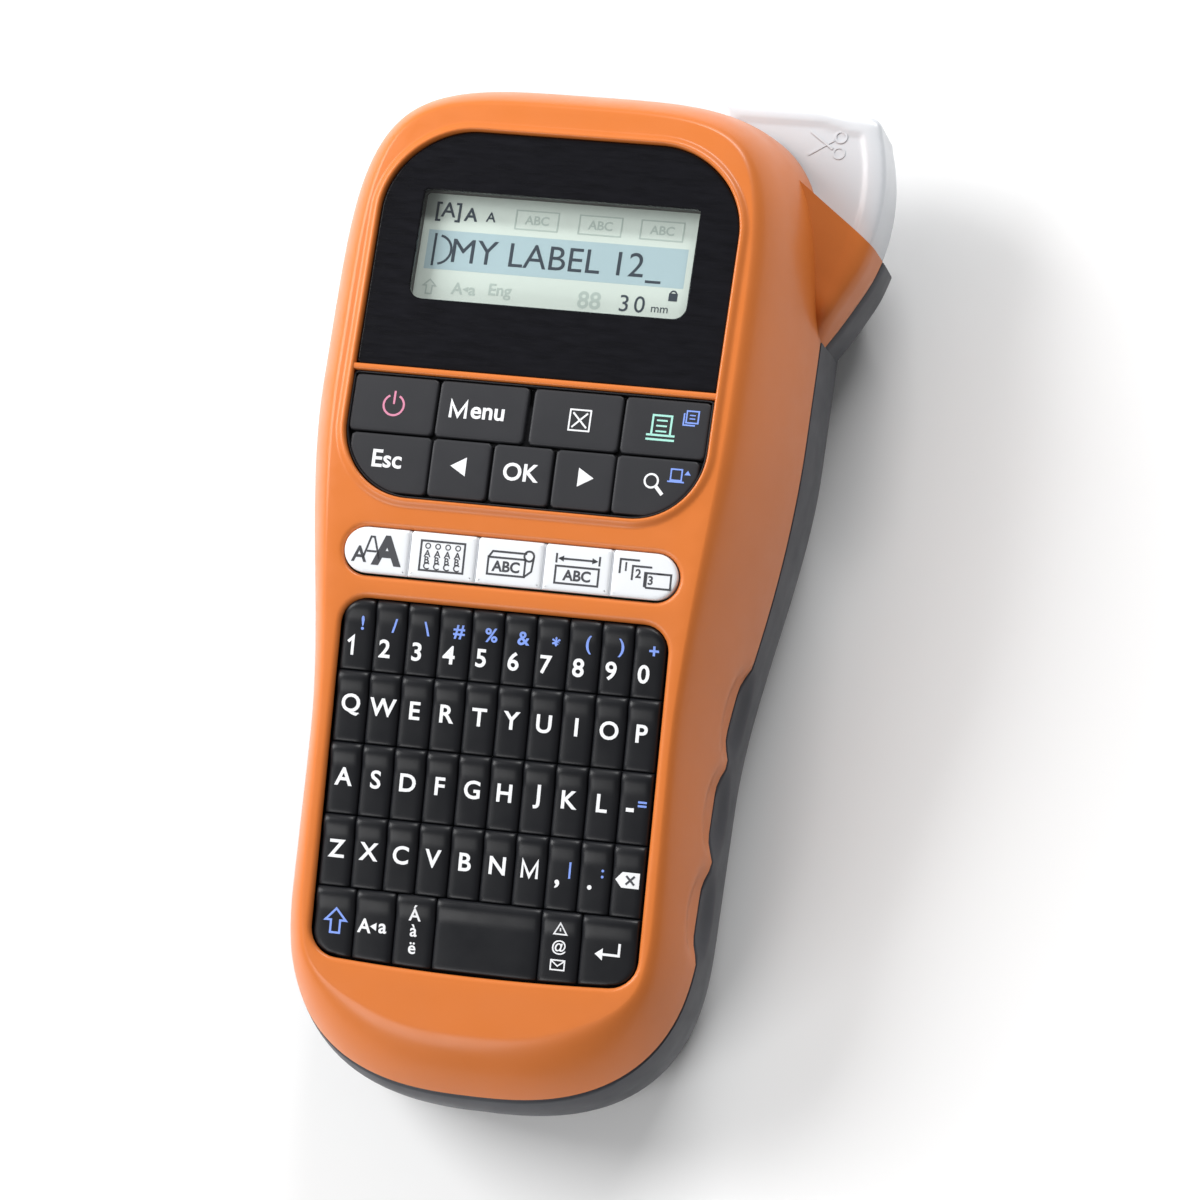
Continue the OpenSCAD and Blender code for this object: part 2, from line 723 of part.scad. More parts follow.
module reduction_gear() {
    color([0.92, 0.90, 0.84]) difference() {
        union() {
            placed_gear(reduction_at, small_turn, gear_a_z, large_teeth, gear_t);
            placed_gear(reduction_at, small_turn, gear_a_z + gear_t - eps, small_teeth, gear_b_z - gear_a_z);
        }
        translate([reduction_at[0], reduction_at[1], 0]) cylinder(r = post_r + 0.05, h = 60);
    }
}
module idler_gear() {
    color([0.92, 0.90, 0.84]) difference() {
        union() {
            placed_gear(idler_at, idler_turn, gear_b_z, idler_teeth, gear_t);
            translate([idler_at[0], idler_at[1], gear_b_z + gear_t - eps]) cylinder(r = 2.4, h = 1.2);
        }
        translate([idler_at[0], idler_at[1], 0]) cylinder(r = post_r + 0.05, h = 60);
    }
}
motor_r = 7.8;
module drive_motor() {
    color("silver") translate([motor_at[0], motor_at[1], 0]) union() {
        translate([0, 0, 4]) cylinder(r = motor_r, h = chassis_z - 4);
        translate([0, 0, chassis_z - eps]) cylinder(r = 2.1, h = 1);
    }
}
module motor_pinion() {
    color([0.85, 0.7, 0.35]) union() {
        placed_gear(motor_at, pinion_turn, gear_a_z - 0.2, pinion_teeth, gear_t + 0.4);
        translate([motor_at[0], motor_at[1], chassis_z + 1.3]) cylinder(r = 0.9, h = 1);
    }
}
spindle_r = 2.5;
module ribbon_spindle() {
    color([0.92, 0.90, 0.84]) union() {
        placed_gear(spindle_at, spindle_turn, gear_b_z, spindle_teeth, gear_t);
        translate([spindle_at[0], spindle_at[1],
                tape_z + 1]) cylinder(r = spindle_r, h = gear_b_z - tape_z);
    }
}

// Tape cassette and what is wound in it
roll_at = [-24, 42];
supply_at = [11, 44];
roll_r = 16.6;
supply_r = 7;
takeup_r = 5.6;
cassette_z = 3.2;
cassette_h = 16.4;
cassette_x0 = -42;
cassette_y0 = 22;
cassette_w = 64;
cassette_l = 49.2;
cassette_wall = 1.1;
module cassette_shell() {
    color([0.30, 0.31, 0.33]) difference() {
        union() {
            difference() {
                translate([cassette_x0, cassette_y0, cassette_z]) cube([cassette_w, cassette_l, cassette_h]);
                translate([cassette_x0 + cassette_wall, cassette_y0 + cassette_wall, cassette_z + cassette_wall])
                    cube([cassette_w - 2 * cassette_wall, cassette_l - 2 * cassette_wall,
                          cassette_h - 2 * cassette_wall]);
            }
            translate([roll_at[0], roll_at[1], cassette_z]) cylinder(r = 5, h = cassette_h);
            translate([supply_at[0], supply_at[1], cassette_z]) cylinder(r = 2.2, h = cassette_h);
        }
        translate([spindle_at[0], spindle_at[1], cassette_z + 2]) cylinder(r = 3.6, h = 40);
        translate([tape_x - 0.6, cassette_y0 + cassette_l - 3, tape_z - 0.3]) cube([1.2, 5, tape_w + 0.6]);
    }
}

module wound(at, r, core_r) {
    translate([at[0], at[1], tape_z + 0.1]) difference() {
        cylinder(r = r, h = tape_w - 0.2);
        translate([0, 0, -1]) cylinder(r = core_r, h = tape_w + 2);
    }
}
module tape_roll() {
    color([0.95, 0.95, 0.93]) wound(roll_at, roll_r, 5.08);
}
module ribbon_supply() {
    color([0.15, 0.15, 0.17]) wound(supply_at, supply_r, 2.28);
}
module ribbon_takeup() {
    color([0.15, 0.15, 0.17]) translate([0, 0, 1]) wound(spindle_at, takeup_r, spindle_r);
}
module label_tape() {
    color([0.97, 0.97, 0.95]) translate([tape_x - tape_t / 2, cassette_y0 + cassette_l - 4, tape_z])
        cube([tape_t, tape_end - cassette_y0 - cassette_l + 4, tape_w]);
}

// Power
module batteries() {
    color([0.75, 0.65, 0.35]) for (y = cell_y, i = [-1 : 1])
        translate([i * cell_pitch, y, cell_z]) rotate([-90, 0, 0]) union() {
            cylinder(r = cell_r, h = cell_l - 1);
            cylinder(r = 1.9, h = cell_l);
        }
}
module battery_contacts() {
    color("silver") for (y = [cell_y[0] - 0.7, cell_y[0] + cell_l + 0.35, cell_y[1] + cell_l + 0.15])
        translate([-cell_pitch * 1.5, y, cell_z - 4]) cube([cell_pitch * 3, 0.5, 8]);
}

jack_x = 0;
jack_z = 9.4;
jack_nose_r = 4.3;
jack_bore_r = 2.9;
jack_pin_r = 1;
jack_end = -101.8;
module dc_jack() {
    color([0.12, 0.12, 0.13]) translate([jack_x, 0, jack_z]) union() {
        difference() {
            union() {
                translate([-5.3, -97.6, -5.3]) cube([10.6, 5.2, 10.6]);
                translate([0, jack_end, 0]) rotate([-90, 0, 0]) cylinder(r = jack_nose_r, h = 6);
            }
            translate([0, jack_end - 1, 0]) rotate([-90, 0, 0]) cylinder(r = jack_bore_r, h = 8.8);
        }
        translate([0, jack_end + 0.6, 0]) rotate([-90, 0, 0]) cylinder(r = jack_pin_r, h = 8);
    }
}

// Names for the keys
module power_key() { func_top_key(0); }
module menu_key() { func_top_key(1); }
module cancel_key() { func_top_key(2); }
module print_key() { func_top_key(3); }
module escape_key() { func_low_key(0); }
module left_key() { func_low_key(1); }
module ok_key() { func_low_key(2); }
module right_key() { func_low_key(3); }
module preview_key() { func_low_key(4); }
module style_key() { strip_key(0); }
module frame_key() { strip_key(1); }
module cassette_key() { strip_key(2); }
module width_key() { strip_key(3); }
module number_key() { strip_key(4); }
module digit_keys() { letter_row(0); }
module upper_keys() { letter_row(1); }
module middle_keys() { letter_row(2); }
module lower_keys() { letter_row(3); }
module shift_key() { pad_key(4, 0, 1.25); }
module caps_key() { pad_key(4, 1.25, 1.25); }
module accent_key() { pad_key(4, 2.5, 1.25); }
module space_key() { pad_key(4, 3.75, 3.25); }
module symbol_key() { pad_key(4, 7, 1.25); }
module enter_key() { pad_key(4, 8.25, 1.75); }

front_shell();
rear_case();
back_cover();
case_screws();
display_window();
lcd_panel();
lcd_holder();
display_board();
key_board();
function_mat();
keypad_mat();
inner_chassis();
cutter_lever();
lever_pin();
lever_spring();
blade_carrier();
cutter_blade();
print_head();
head_sink();
platen_roller();
platen_shaft();
platen_gear();
drive_motor();
motor_pinion();
reduction_gear();
idler_gear();
ribbon_spindle();
cassette_shell();
tape_roll();
ribbon_supply();
ribbon_takeup();
label_tape();
batteries();
battery_contacts();
dc_jack();
power_key();
menu_key();
cancel_key();
print_key();
escape_key();
left_key();
ok_key();
right_key();
preview_key();
style_key();
frame_key();
cassette_key();
width_key();
number_key();
digit_keys();
upper_keys();
middle_keys();
lower_keys();
shift_key();
caps_key();
accent_key();
space_key();
symbol_key();
enter_key();
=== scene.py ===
import math
import bmesh
import bpy
from mathutils import Matrix, Vector
from mathutils.geometry import delaunay_2d_cdt


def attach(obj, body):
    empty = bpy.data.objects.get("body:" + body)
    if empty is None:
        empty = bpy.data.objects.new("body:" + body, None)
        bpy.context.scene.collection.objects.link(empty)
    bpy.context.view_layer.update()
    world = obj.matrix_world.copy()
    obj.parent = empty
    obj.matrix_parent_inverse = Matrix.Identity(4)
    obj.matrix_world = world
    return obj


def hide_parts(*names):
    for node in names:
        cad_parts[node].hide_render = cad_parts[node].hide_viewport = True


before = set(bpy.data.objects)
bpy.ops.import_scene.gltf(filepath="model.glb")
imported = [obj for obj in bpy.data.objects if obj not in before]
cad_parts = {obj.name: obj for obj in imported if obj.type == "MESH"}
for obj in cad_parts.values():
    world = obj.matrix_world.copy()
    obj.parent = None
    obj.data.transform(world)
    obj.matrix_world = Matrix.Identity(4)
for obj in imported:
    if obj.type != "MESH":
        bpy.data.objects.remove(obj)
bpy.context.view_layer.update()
MM = 0.001

# ---------------------------------------------------------------- body form, in millimetres
TOP_W, LOW_W = 101.0, 85.0
TOP_Y, LOW_Y = 104.0, -103.6
TAPER = (-36.0, 36.0)
LOW_C, LOW_ROUND = -63.4, 2.6
TOP_C, TOP_ROUND = 46.5, 3.8
SEAM = 18.0
KEY_SLOPE = math.radians(12)
BEND = (-8.0, 36.0)
FACE = 59.2
BEND_RISE = math.tan(KEY_SLOPE) * (BEND[1] - BEND[0]) / 2
BEND_Z0 = FACE - BEND_RISE
FACE_INSET, KEY_INSET, LOW_INSET = 10.4, 6.8, 5.5
SHELL_POW = 1.2
SKIN = 1.2
SEAM_EDGE = 0.3


def smooth(u):
    u = min(1.0, max(0.0, u))
    return u * u * (3 - 2 * u)


def close_end(t, n):
    t = min(1.0, max(0.0, t))
    return (1 - t ** n) ** (1 / n)


def half_w(y):
    width = LOW_W + (TOP_W - LOW_W) * smooth((y - TAPER[0]) / (TAPER[1] - TAPER[0]))
    return width / 2 * close_end((LOW_C - y) / (LOW_C - LOW_Y), LOW_ROUND) \
        * close_end((y - TOP_C) / (TOP_Y - TOP_C), TOP_ROUND)


def bend_t(y):
    return min(1.0, max(0.0, (y - BEND[0]) / (BEND[1] - BEND[0])))


def face_z(y):
    if y < BEND[0]:
        return BEND_Z0 + (y - BEND[0]) * math.tan(KEY_SLOPE)
    t = bend_t(y)
    return BEND_Z0 + 2 * BEND_RISE * (t - t * t / 2)


def seam_at(y):
    """Height of the line between the front shell and the rear case."""
    return 25.0 + 4.0 * smooth((y + 5) / 40)


def inset_at(y):
    return KEY_INSET + (FACE_INSET - KEY_INSET) * smooth((y - TAPER[0]) / (TAPER[1] - TAPER[0])) \
        + LOW_INSET * smooth((-78 - y) / 24)


# ---------------------------------------------------------------- outlines in the XY plane
def resample(points, step):
    """Evenly spaced points round a closed outline."""
    n = len(points)
    lengths = [math.dist(points[i], points[(i + 1) % n]) for i in range(n)]
    count = max(8, round(sum(lengths) / step))
    gap = sum(lengths) / count
    out, i, done = [], 0, 0.0
    for k in range(count):
        want = k * gap
        while done + lengths[i] < want:
            done += lengths[i]
            i += 1
        t = (want - done) / lengths[i] if lengths[i] else 0
        a, b = points[i], points[(i + 1) % n]
        out.append((a[0] + (b[0] - a[0]) * t, a[1] + (b[1] - a[1]) * t))
    return out


def normals(points):
    """Unit normals that point out of a counter-clockwise outline, scaled to keep a mitre's width."""
    n = len(points)
    out = []
    for i in range(n):
        a, p, b = points[i - 1], points[i], points[(i + 1) % n]
        d0 = Vector((p[0] - a[0], p[1] - a[1]))
        d1 = Vector((b[0] - p[0], b[1] - p[1]))
        n0 = Vector((d0.y, -d0.x)).normalized()
        n1 = Vector((d1.y, -d1.x)).normalized()
        m = n0 + n1
        m = m.normalized() if m.length > 1e-6 else n0
        out.append(m / max(0.45, m.dot(n0)))
    return out


def grow(points, d):
    return [(p[0] + n.x * d, p[1] + n.y * d) for p, n in zip(points, normals(points))]


def body_rim(step):
    fine = 720
    ys = [LOW_Y + (TOP_Y - LOW_Y) * (1 - math.cos(math.pi * i / fine)) / 2 for i in range(fine + 1)]
    right = [(half_w(y), y) for y in ys]
    left = [(-half_w(y), y) for y in reversed(ys)]
    return resample(right + left[1:-1], step)


RIM = body_rim(1.9)
RIM_N = normals(RIM)


def rim_in(inset):
    """The rim moved inwards by inset(y)."""
    return [(p[0] - n.x * inset(p[1]), p[1] - n.y * inset(p[1])) for p, n in zip(RIM, RIM_N)]


def arc(cx, cy, r, a0, a1, n):
    return [(cx + r * math.cos(math.radians(a0 + (a1 - a0) * i / n)),
             cy + r * math.sin(math.radians(a0 + (a1 - a0) * i / n))) for i in range(n + 1)]


def box(x0, x1, y0, y1):
    return [(x0, y0), (x1, y0), (x1, y1), (x0, y1)]


def rounded_box(x0, x1, y0, y1, r_low, r_top, n=14):
    """Counter-clockwise rounded rectangle."""
    return arc(x1 - r_low, y0 + r_low, r_low, -90, 0, n) + arc(x1 - r_top, y1 - r_top, r_top, 0, 90, n) \
        + arc(x0 + r_top, y1 - r_top, r_top, 90, 180, n) + arc(x0 + r_low, y0 + r_low, r_low, 180, 270, n)


def corner_in(r, past):
    """How far a round corner of radius r draws a side in, at the distance past the corner's start."""
    return r - math.sqrt(max(0.0, r * r - past * past))


def inside(p, points):
    x, y = p
    hit = False
    j = len(points) - 1
    for i in range(len(points)):
        (xi, yi), (xj, yj) = points[i], points[j]
        if (yi > y) != (yj > y) and x < (xj - xi) * (y - yi) / (yj - yi) + xi:
            hit = not hit
        j = i
    return hit


# ---------------------------------------------------------------- mesh building
def flat(x, y):
    return 0.0


def on_face(x, y):
    return face_z(y)


class Form:
    """Points and faces in millimetres, gathered into closed meshes."""

    def __init__(self):
        self.points = []
        self.faces = []

    def loop(self, points):
        start = len(self.points)
        self.points += [tuple(p) for p in points]
        return list(range(start, len(self.points)))

    def ring(self, outline, level, height=flat):
        """Loop of an XY outline, level above height(x, y)."""
        return self.loop([(x, y, height(x, y) + level) for x, y in outline])

    def bridge(self, *loops):
        """Faces from each loop to the next."""
        n = len(loops[0])
        for a, b in zip(loops, loops[1:]):
            for i in range(n):
                j = (i + 1) % n
                self.faces.append((a[i], a[j], b[j], b[i]))

    def loft(self, sections):
        """Closed skin through sections of equal point count."""
        loops = [self.loop(s) for s in sections]
        self.bridge(*loops)
        self.faces += [tuple(loops[0]), tuple(reversed(loops[-1]))]

    def sheet(self, outer, holes, height, grid=2.4, margin=0.9):
        """Triangles between outlines at height(x, y), with points in between so that it shades smoothly."""
        loops = [outer] + holes
        points, edges = [], []
        for lp in loops:
            start = len(points)
            points += [Vector((p[0], p[1])) for p in lp]
            edges += [(start + i, start + (i + 1) % len(lp)) for i in range(len(lp))]
        if grid:
            near = grow(outer, -margin)
            far = [grow(h, margin) for h in holes]
            xs = [p[0] for p in outer]
            ys = [p[1] for p in outer]
            for i in range(int((max(xs) - min(xs)) / grid) + 1):
                for j in range(int((max(ys) - min(ys)) / grid) + 1):
                    q = (min(xs) + grid * (i + 0.5 * (j % 2)), min(ys) + grid * (j + 0.5))
                    if inside(q, near) and not any(inside(q, h) for h in far):
                        points.append(Vector(q))
        made, _, faces, *_ = delaunay_2d_cdt(points, edges, [], 0, 1e-5)
        base = len(self.points)
        self.points += [(p.x, p.y, height(p.x, p.y)) for p in made]
        for f in faces:
            c = (sum(made[i].x for i in f) / 3, sum(made[i].y for i in f) / 3)
            if inside(c, outer) and not any(inside(c, h) for h in holes):
                self.faces.append(tuple(base + i for i in f))

    def build(self, name, sharp=38, weld=0.002):
        bm = bmesh.new()
        verts = [bm.verts.new(p) for p in self.points]
        for f in self.faces:
            try:
                bm.faces.new([verts[i] for i in f])
            except ValueError:
                pass
        bmesh.ops.remove_doubles(bm, verts=bm.verts, dist=weld)
        return to_object(bm, name, sharp)


def to_object(bm, name, sharp=38, scale=MM):
    loose = [v for v in bm.verts if not v.link_faces]
    bmesh.ops.delete(bm, geom=loose, context="VERTS")
    bmesh.ops.recalc_face_normals(bm, faces=bm.faces)
    if scale != 1:
        bmesh.ops.scale(bm, vec=(scale,) * 3, verts=bm.verts)
    mark_sharp(bm, sharp)
    mesh = bpy.data.meshes.new(name)
    bm.to_mesh(mesh)
    bm.free()
    obj = bpy.data.objects.new(name, mesh)
    bpy.context.scene.collection.objects.link(obj)
    return obj


def mark_sharp(bm, sharp):
    limit = math.radians(sharp)
    for f in bm.faces:
        f.smooth = True
    for e in bm.edges:
        e.smooth = len(e.link_faces) == 2 and e.calc_face_angle(0) < limit


def slab(form, outline, rows, height=flat, grid=2.4):
    """Closed slab: rows are (inset, level), from the lowest to the highest."""
    form.bridge(*[form.ring(grow(outline, -inset), level, height) for inset, level in rows])
    for inset, level in (rows[0], rows[-1]):
        form.sheet(grow(outline, -inset), [], lambda x, y, z=level: height(x, y) + z, grid)


def carve(obj, cutter, sharp=38):
    """Cuts the cutter out of obj exactly, and removes the cutter."""
    m = obj.modifiers.new("cut", "BOOLEAN")
    m.object = cutter
    m.operation = "DIFFERENCE"
    m.solver = "EXACT"
    graph = bpy.context.evaluated_depsgraph_get()
    mesh = bpy.data.meshes.new_from_object(obj.evaluated_get(graph))
    obj.modifiers.clear()
    old = obj.data
    obj.data = mesh
    bpy.data.meshes.remove(old)
    bpy.data.objects.remove(cutter)
    bm = bmesh.new()
    bm.from_mesh(mesh)
    bmesh.ops.remove_doubles(bm, verts=bm.verts, dist=1e-7)
    mark_sharp(bm, sharp)
    bm.to_mesh(mesh)
    bm.free()


def prism(name, outline, z0, z1):
    form = Form()
    slab(form, outline, [(0, z0), (0, z1)], grid=0)
    return form.build(name)


def place(obj, body, material, nodes=()):
    """Rides a body, takes a material, and stands for CAD nodes."""
    obj.data.materials.clear()
    obj.data.materials.append(material)
    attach(obj, body)
    if nodes:
        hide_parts(*nodes)
    return obj


# ---------------------------------------------------------------- materials
# Part of a noise's range that holds nearly all of its values
NOISE_SPAN = (0.3, 0.7)


def principled(name, color, rough, **sockets):
    mat = bpy.data.materials.new(name)
    mat.use_nodes = True
    tree = mat.node_tree
    shader = tree.nodes["Principled BSDF"]
    shader.inputs["Base Color"].default_value = (*color, 1)
    shader.inputs["Roughness"].default_value = rough
    for key, value in sockets.items():
        shader.inputs[key.replace("_", " ")].default_value = value
    return mat, tree, shader


def node(tree, kind, **inputs):
    """New shader node with the given values on its inputs."""
    made = tree.nodes.new("ShaderNode" + kind)
    for key, value in inputs.items():
        made.inputs[key.replace("_", " ")].default_value = value
    return made


def noise(tree, scale, detail=3.0, stretch=None):
    """Noise in object space, stretched along the axes if asked."""
    vector = node(tree, "TexCoord").outputs["Object"]
    tex = node(tree, "TexNoise", Scale=scale, Detail=detail)
    if stretch:
        mapping = node(tree, "Mapping", Scale=stretch)
        tree.links.new(vector, mapping.inputs["Vector"])
        vector = mapping.outputs["Vector"]
    tree.links.new(vector, tex.inputs["Vector"])
    return tex


def spread(tree, source, low, high, target):
    """Feeds a noise into a socket, spread between two values."""
    ramp = node(tree, "MapRange", From_Min=NOISE_SPAN[0], From_Max=NOISE_SPAN[1], To_Min=low, To_Max=high)
    tree.links.new(source.outputs["Fac"], ramp.inputs["Value"])
    tree.links.new(ramp.outputs["Result"], target)


def shades(tree, source, color, change, target):
    """Feeds a noise into a colour socket as a small change of shade."""
    ramp = node(tree, "ValToRGB")
    for stop, at, gain in zip(ramp.color_ramp.elements, NOISE_SPAN, (1 - change, 1 + change)):
        stop.position = at
        stop.color = (*[min(1, c * gain) for c in color], 1)
    tree.links.new(source.outputs["Fac"], ramp.inputs["Fac"])
    tree.links.new(ramp.outputs["Color"], target)


def bump(tree, source, shader, strength, distance):
    relief = node(tree, "Bump", Strength=strength, Distance=distance)
    tree.links.new(source.outputs["Fac"], relief.inputs["Height"])
    tree.links.new(relief.outputs["Normal"], shader.inputs["Normal"])


def moulded(name, color, rough, grain=2600, strength=0.12, change=0.03, **sockets):
    """Moulded plastic or rubber: fine grain, soft changes of shade and of gloss."""
    mat, tree, shader = principled(name, color, rough, **sockets)
    shades(tree, noise(tree, 45, 4), color, change, shader.inputs["Base Color"])
    spread(tree, noise(tree, 160, 5), rough - 0.04, rough + 0.05, shader.inputs["Roughness"])
    bump(tree, noise(tree, grain, 2), shader, strength, 0.00004)
    return mat


def metal(name, color, rough, stretch=(1, 1, 30)):
    mat, tree, shader = principled(name, color, rough, Metallic=1.0)
    lines = noise(tree, 300, 4, stretch)
    spread(tree, lines, rough - 0.06, rough + 0.08, shader.inputs["Roughness"])
    shades(tree, noise(tree, 60, 3), color, 0.05, shader.inputs["Base Color"])
    bump(tree, lines, shader, 0.1, 0.00003)
    return mat


def gloss_black(name):
    """Gloss printed border with faint scratches."""
    color = (0.006, 0.006, 0.008)
    mat, tree, shader = principled(name, color, 0.16, Specular_IOR_Level=0.22)
    scratches = noise(tree, 420, 6, (1, 9, 1))
    spread(tree, scratches, 0.13, 0.24, shader.inputs["Roughness"])
    shades(tree, noise(tree, 150, 4, (1, 5, 1)), color, 0.25, shader.inputs["Base Color"])
    bump(tree, scratches, shader, 0.03, 0.00002)
    return mat


def clear_pane(name):
    """Thin clear pane: mostly see-through with a weak reflection."""
    mat = bpy.data.materials.new(name)
    mat.use_nodes = True
    tree = mat.node_tree
    tree.nodes.clear()
    out = node(tree, "OutputMaterial")
    mix = node(tree, "MixShader", Fac=0.05)
    see = node(tree, "BsdfTransparent", Color=(0.95, 0.96, 0.96, 1))
    shine = node(tree, "BsdfGlossy")
    spread(tree, noise(tree, 200, 4), 0.05, 0.12, shine.inputs["Roughness"])
    tree.links.new(see.outputs[0], mix.inputs[1])
    tree.links.new(shine.outputs[0], mix.inputs[2])
    tree.links.new(mix.outputs[0], out.inputs["Surface"])
    return mat


MAT = {
    "orange": moulded("orange_plastic", (0.625, 0.172, 0.034), 0.36, 2200, 0.10, 0.02, Specular_IOR_Level=0.3,
                      Coat_Weight=0.14, Coat_Roughness=0.18),
    "dark": moulded("dark_plastic", (0.036, 0.038, 0.047), 0.42, 2000, 0.16, 0.05, Specular_IOR_Level=0.4),
    "white": moulded("white_plastic", (0.76, 0.78, 0.81), 0.36, 2400, 0.06, 0.01),
    "lever": moulded("lever_plastic", (0.64, 0.66, 0.69), 0.34, 2400, 0.06, 0.01),
    "window": gloss_black("window_print"),
    "pane": clear_pane("clear_pane"),
    "lcd": moulded("lcd_ground", (0.76, 0.83, 0.76), 0.34, 900, 0.03, 0.02),
    "lcd_band": moulded("lcd_band", (0.48, 0.62, 0.66), 0.36, 900, 0.03, 0.02),
    "lcd_ink": moulded("lcd_ink", (0.035, 0.05, 0.07), 0.4, 900, 0.03, 0.05),
    "lcd_faint": moulded("lcd_faint", (0.52, 0.60, 0.55), 0.4, 900, 0.03, 0.03),
    "bezel": moulded("holder_plastic", (0.030, 0.024, 0.022), 0.5, 1800, 0.1, 0.05),
    "pad": moulded("function_rubber", (0.022, 0.0225, 0.026), 0.5, 2400, 0.14, 0.06, Specular_IOR_Level=0.3),
    "key": moulded("key_rubber", (0.0065, 0.0070, 0.0090), 0.38, 2400, 0.16, 0.08, Specular_IOR_Level=0.28),
    "ink_white": moulded("legend_white", (0.80, 0.81, 0.83), 0.5, 2000, 0.05, 0.02),
    "ink_blue": moulded("legend_blue", (0.20, 0.32, 0.80), 0.5, 2000, 0.05, 0.03),
    "ink_pink": moulded("legend_pink", (0.62, 0.22, 0.34), 0.5, 2000, 0.05, 0.03),
    "ink_mint": moulded("legend_mint", (0.36, 0.72, 0.62), 0.5, 2000, 0.05, 0.03),
    "ink_dark": moulded("legend_dark", (0.045, 0.047, 0.055), 0.5, 2000, 0.05, 0.03),
    "board": moulded("solder_resist", (0.03, 0.16, 0.06), 0.35, 1200, 0.08, 0.1),
    "gear": moulded("acetal", (0.80, 0.78, 0.70), 0.38, 1600, 0.06, 0.03),
    "cassette": moulded("cassette_plastic", (0.10, 0.105, 0.12), 0.42, 1800, 0.1, 0.05),
    "tape": moulded("tape_film", (0.86, 0.86, 0.83), 0.3, 1200, 0.03, 0.02),
    "ribbon": moulded("ribbon_film", (0.015, 0.015, 0.018), 0.25, 1200, 0.03, 0.05),
    "cell": moulded("cell_sleeve", (0.50, 0.34, 0.10), 0.28, 900, 0.04, 0.06),
    "ceramic": moulded("head_ceramic", (0.70, 0.66, 0.52), 0.3, 1400, 0.05, 0.04),
    "platen": moulded("platen_rubber", (0.022, 0.022, 0.022), 0.6, 2600, 0.25, 0.08),
    "jack": moulded("jack_plastic", (0.018, 0.018, 0.020), 0.45, 1800, 0.1, 0.05),
    "steel": metal("bright_steel", (0.62, 0.62, 0.64), 0.30),
    "chassis": metal("pressed_plate", (0.60, 0.61, 0.63), 0.38, (30, 1, 1)),
    "brass": metal("turned_brass", (0.72, 0.52, 0.22), 0.3),
    "nickel": metal("nickel_plate", (0.70, 0.69, 0.66), 0.24),
}

# ---------------------------------------------------------------- openings in the front face
PAD_Y = -44.5
PITCH, ROW = 6.66, 14.4
PAD_HALF_W, PAD_HALF_L, PAD_R = 33.75, 36.4, 5.5
PAD_BOW = 1.2
STRIP_Y, STRIP_HALF_W, STRIP_HALF_L = 0.2, 34.6, 4.9
SHIELD_HALF = 37.3
WINDOW_TOP, WINDOW_R = 88.0, 18.0
FUNC_LOW, FUNC_R = 11.0, 14.5
DIVIDER = (36.3, 37.5)
SIDE_GAP = 0.15
CROWN = 0.9


def crowned(points, y_mid, y_top, half):
    """Bows the top edge of an outline, highest in the middle."""
    return [(x, y - CROWN * (x / half) ** 2 * smooth((y - y_mid) / (y_top - y_mid))) for x, y in points]


def shield_outline(d=0.0):
    pts = rounded_box(-SHIELD_HALF, SHIELD_HALF, FUNC_LOW, WINDOW_TOP, FUNC_R, WINDOW_R, 30)
    return grow(resample(crowned(pts, 60, WINDOW_TOP, SHIELD_HALF), 1.3), d)


def pad_plane(u, v, w=0.0):
    """Point on the keypad slope: u across, v up the slope, w out of the face."""
    c, s = math.cos(KEY_SLOPE), math.sin(KEY_SLOPE)
    return (u, PAD_Y + v * c - w * s, face_z(PAD_Y) + v * s + w * c)


def pad_low(u):
    """Lower edge of the keypad, which bows down in the middle."""
    return -PAD_HALF_L + PAD_BOW * (u / PAD_HALF_W) ** 2


def pad_outline(d=0.0):
    pts = rounded_box(-PAD_HALF_W, PAD_HALF_W, -PAD_HALF_L, PAD_HALF_L, PAD_R, PAD_R, 16)
    pts = [(u, v + (pad_low(u) + PAD_HALF_L) * smooth(-v / PAD_HALF_L)) for u, v in resample(pts, 1.2)]
    return [pad_plane(u, v)[:2] for u, v in grow(pts, d)]


def strip_slope():
    return math.atan(math.tan(KEY_SLOPE) * (1 - bend_t(STRIP_Y)))


def strip_plane(u, v, w=0.0):
    c, s = math.cos(strip_slope()), math.sin(strip_slope())
    return (u, STRIP_Y + v * c - w * s, face_z(STRIP_Y) + v * s + w * c)


def strip_level(w):
    """Height of the plane that lies w out of the quick keys' slope."""
    rise = w / math.cos(strip_slope())
    return lambda x, y: face_z(STRIP_Y) + rise + (y - STRIP_Y) * math.tan(strip_slope())


def strip_outline(d=0.0):
    r = STRIP_HALF_L
    pts = arc(STRIP_HALF_W - r, 0, r, -90, 90, 16) + arc(r - STRIP_HALF_W, 0, r, 90, 270, 16)
    return [strip_plane(u, v)[:2] for u, v in grow(resample(pts, 1.0), d)]


# Sections across the openings' edges: distance outside the opening, height over the face
LIP_EDGE = [(2.2, 0), (1.95, 0.03), (1.7, 0.12), (1.45, 0.28), (1.2, 0.47), (0.95, 0.63), (0.7, 0.74),
            (0.48, 0.78), (0.28, 0.73), (0.12, 0.56), (0, 0.25), (0, -0.5), (0, -SKIN)]
SOFT_EDGE = [(1.1, 0), (0.75, -0.05), (0.4, -0.22), (0.15, -0.5), (0, -0.85), (0, -SKIN)]
SCALLOP_Y = (-19.5, -40.0, -60.5)
SCALLOP_Z, SCALLOP_DEPTH = 26.5, 1.5
SCALLOP_HALF = (10.4, 8.0)


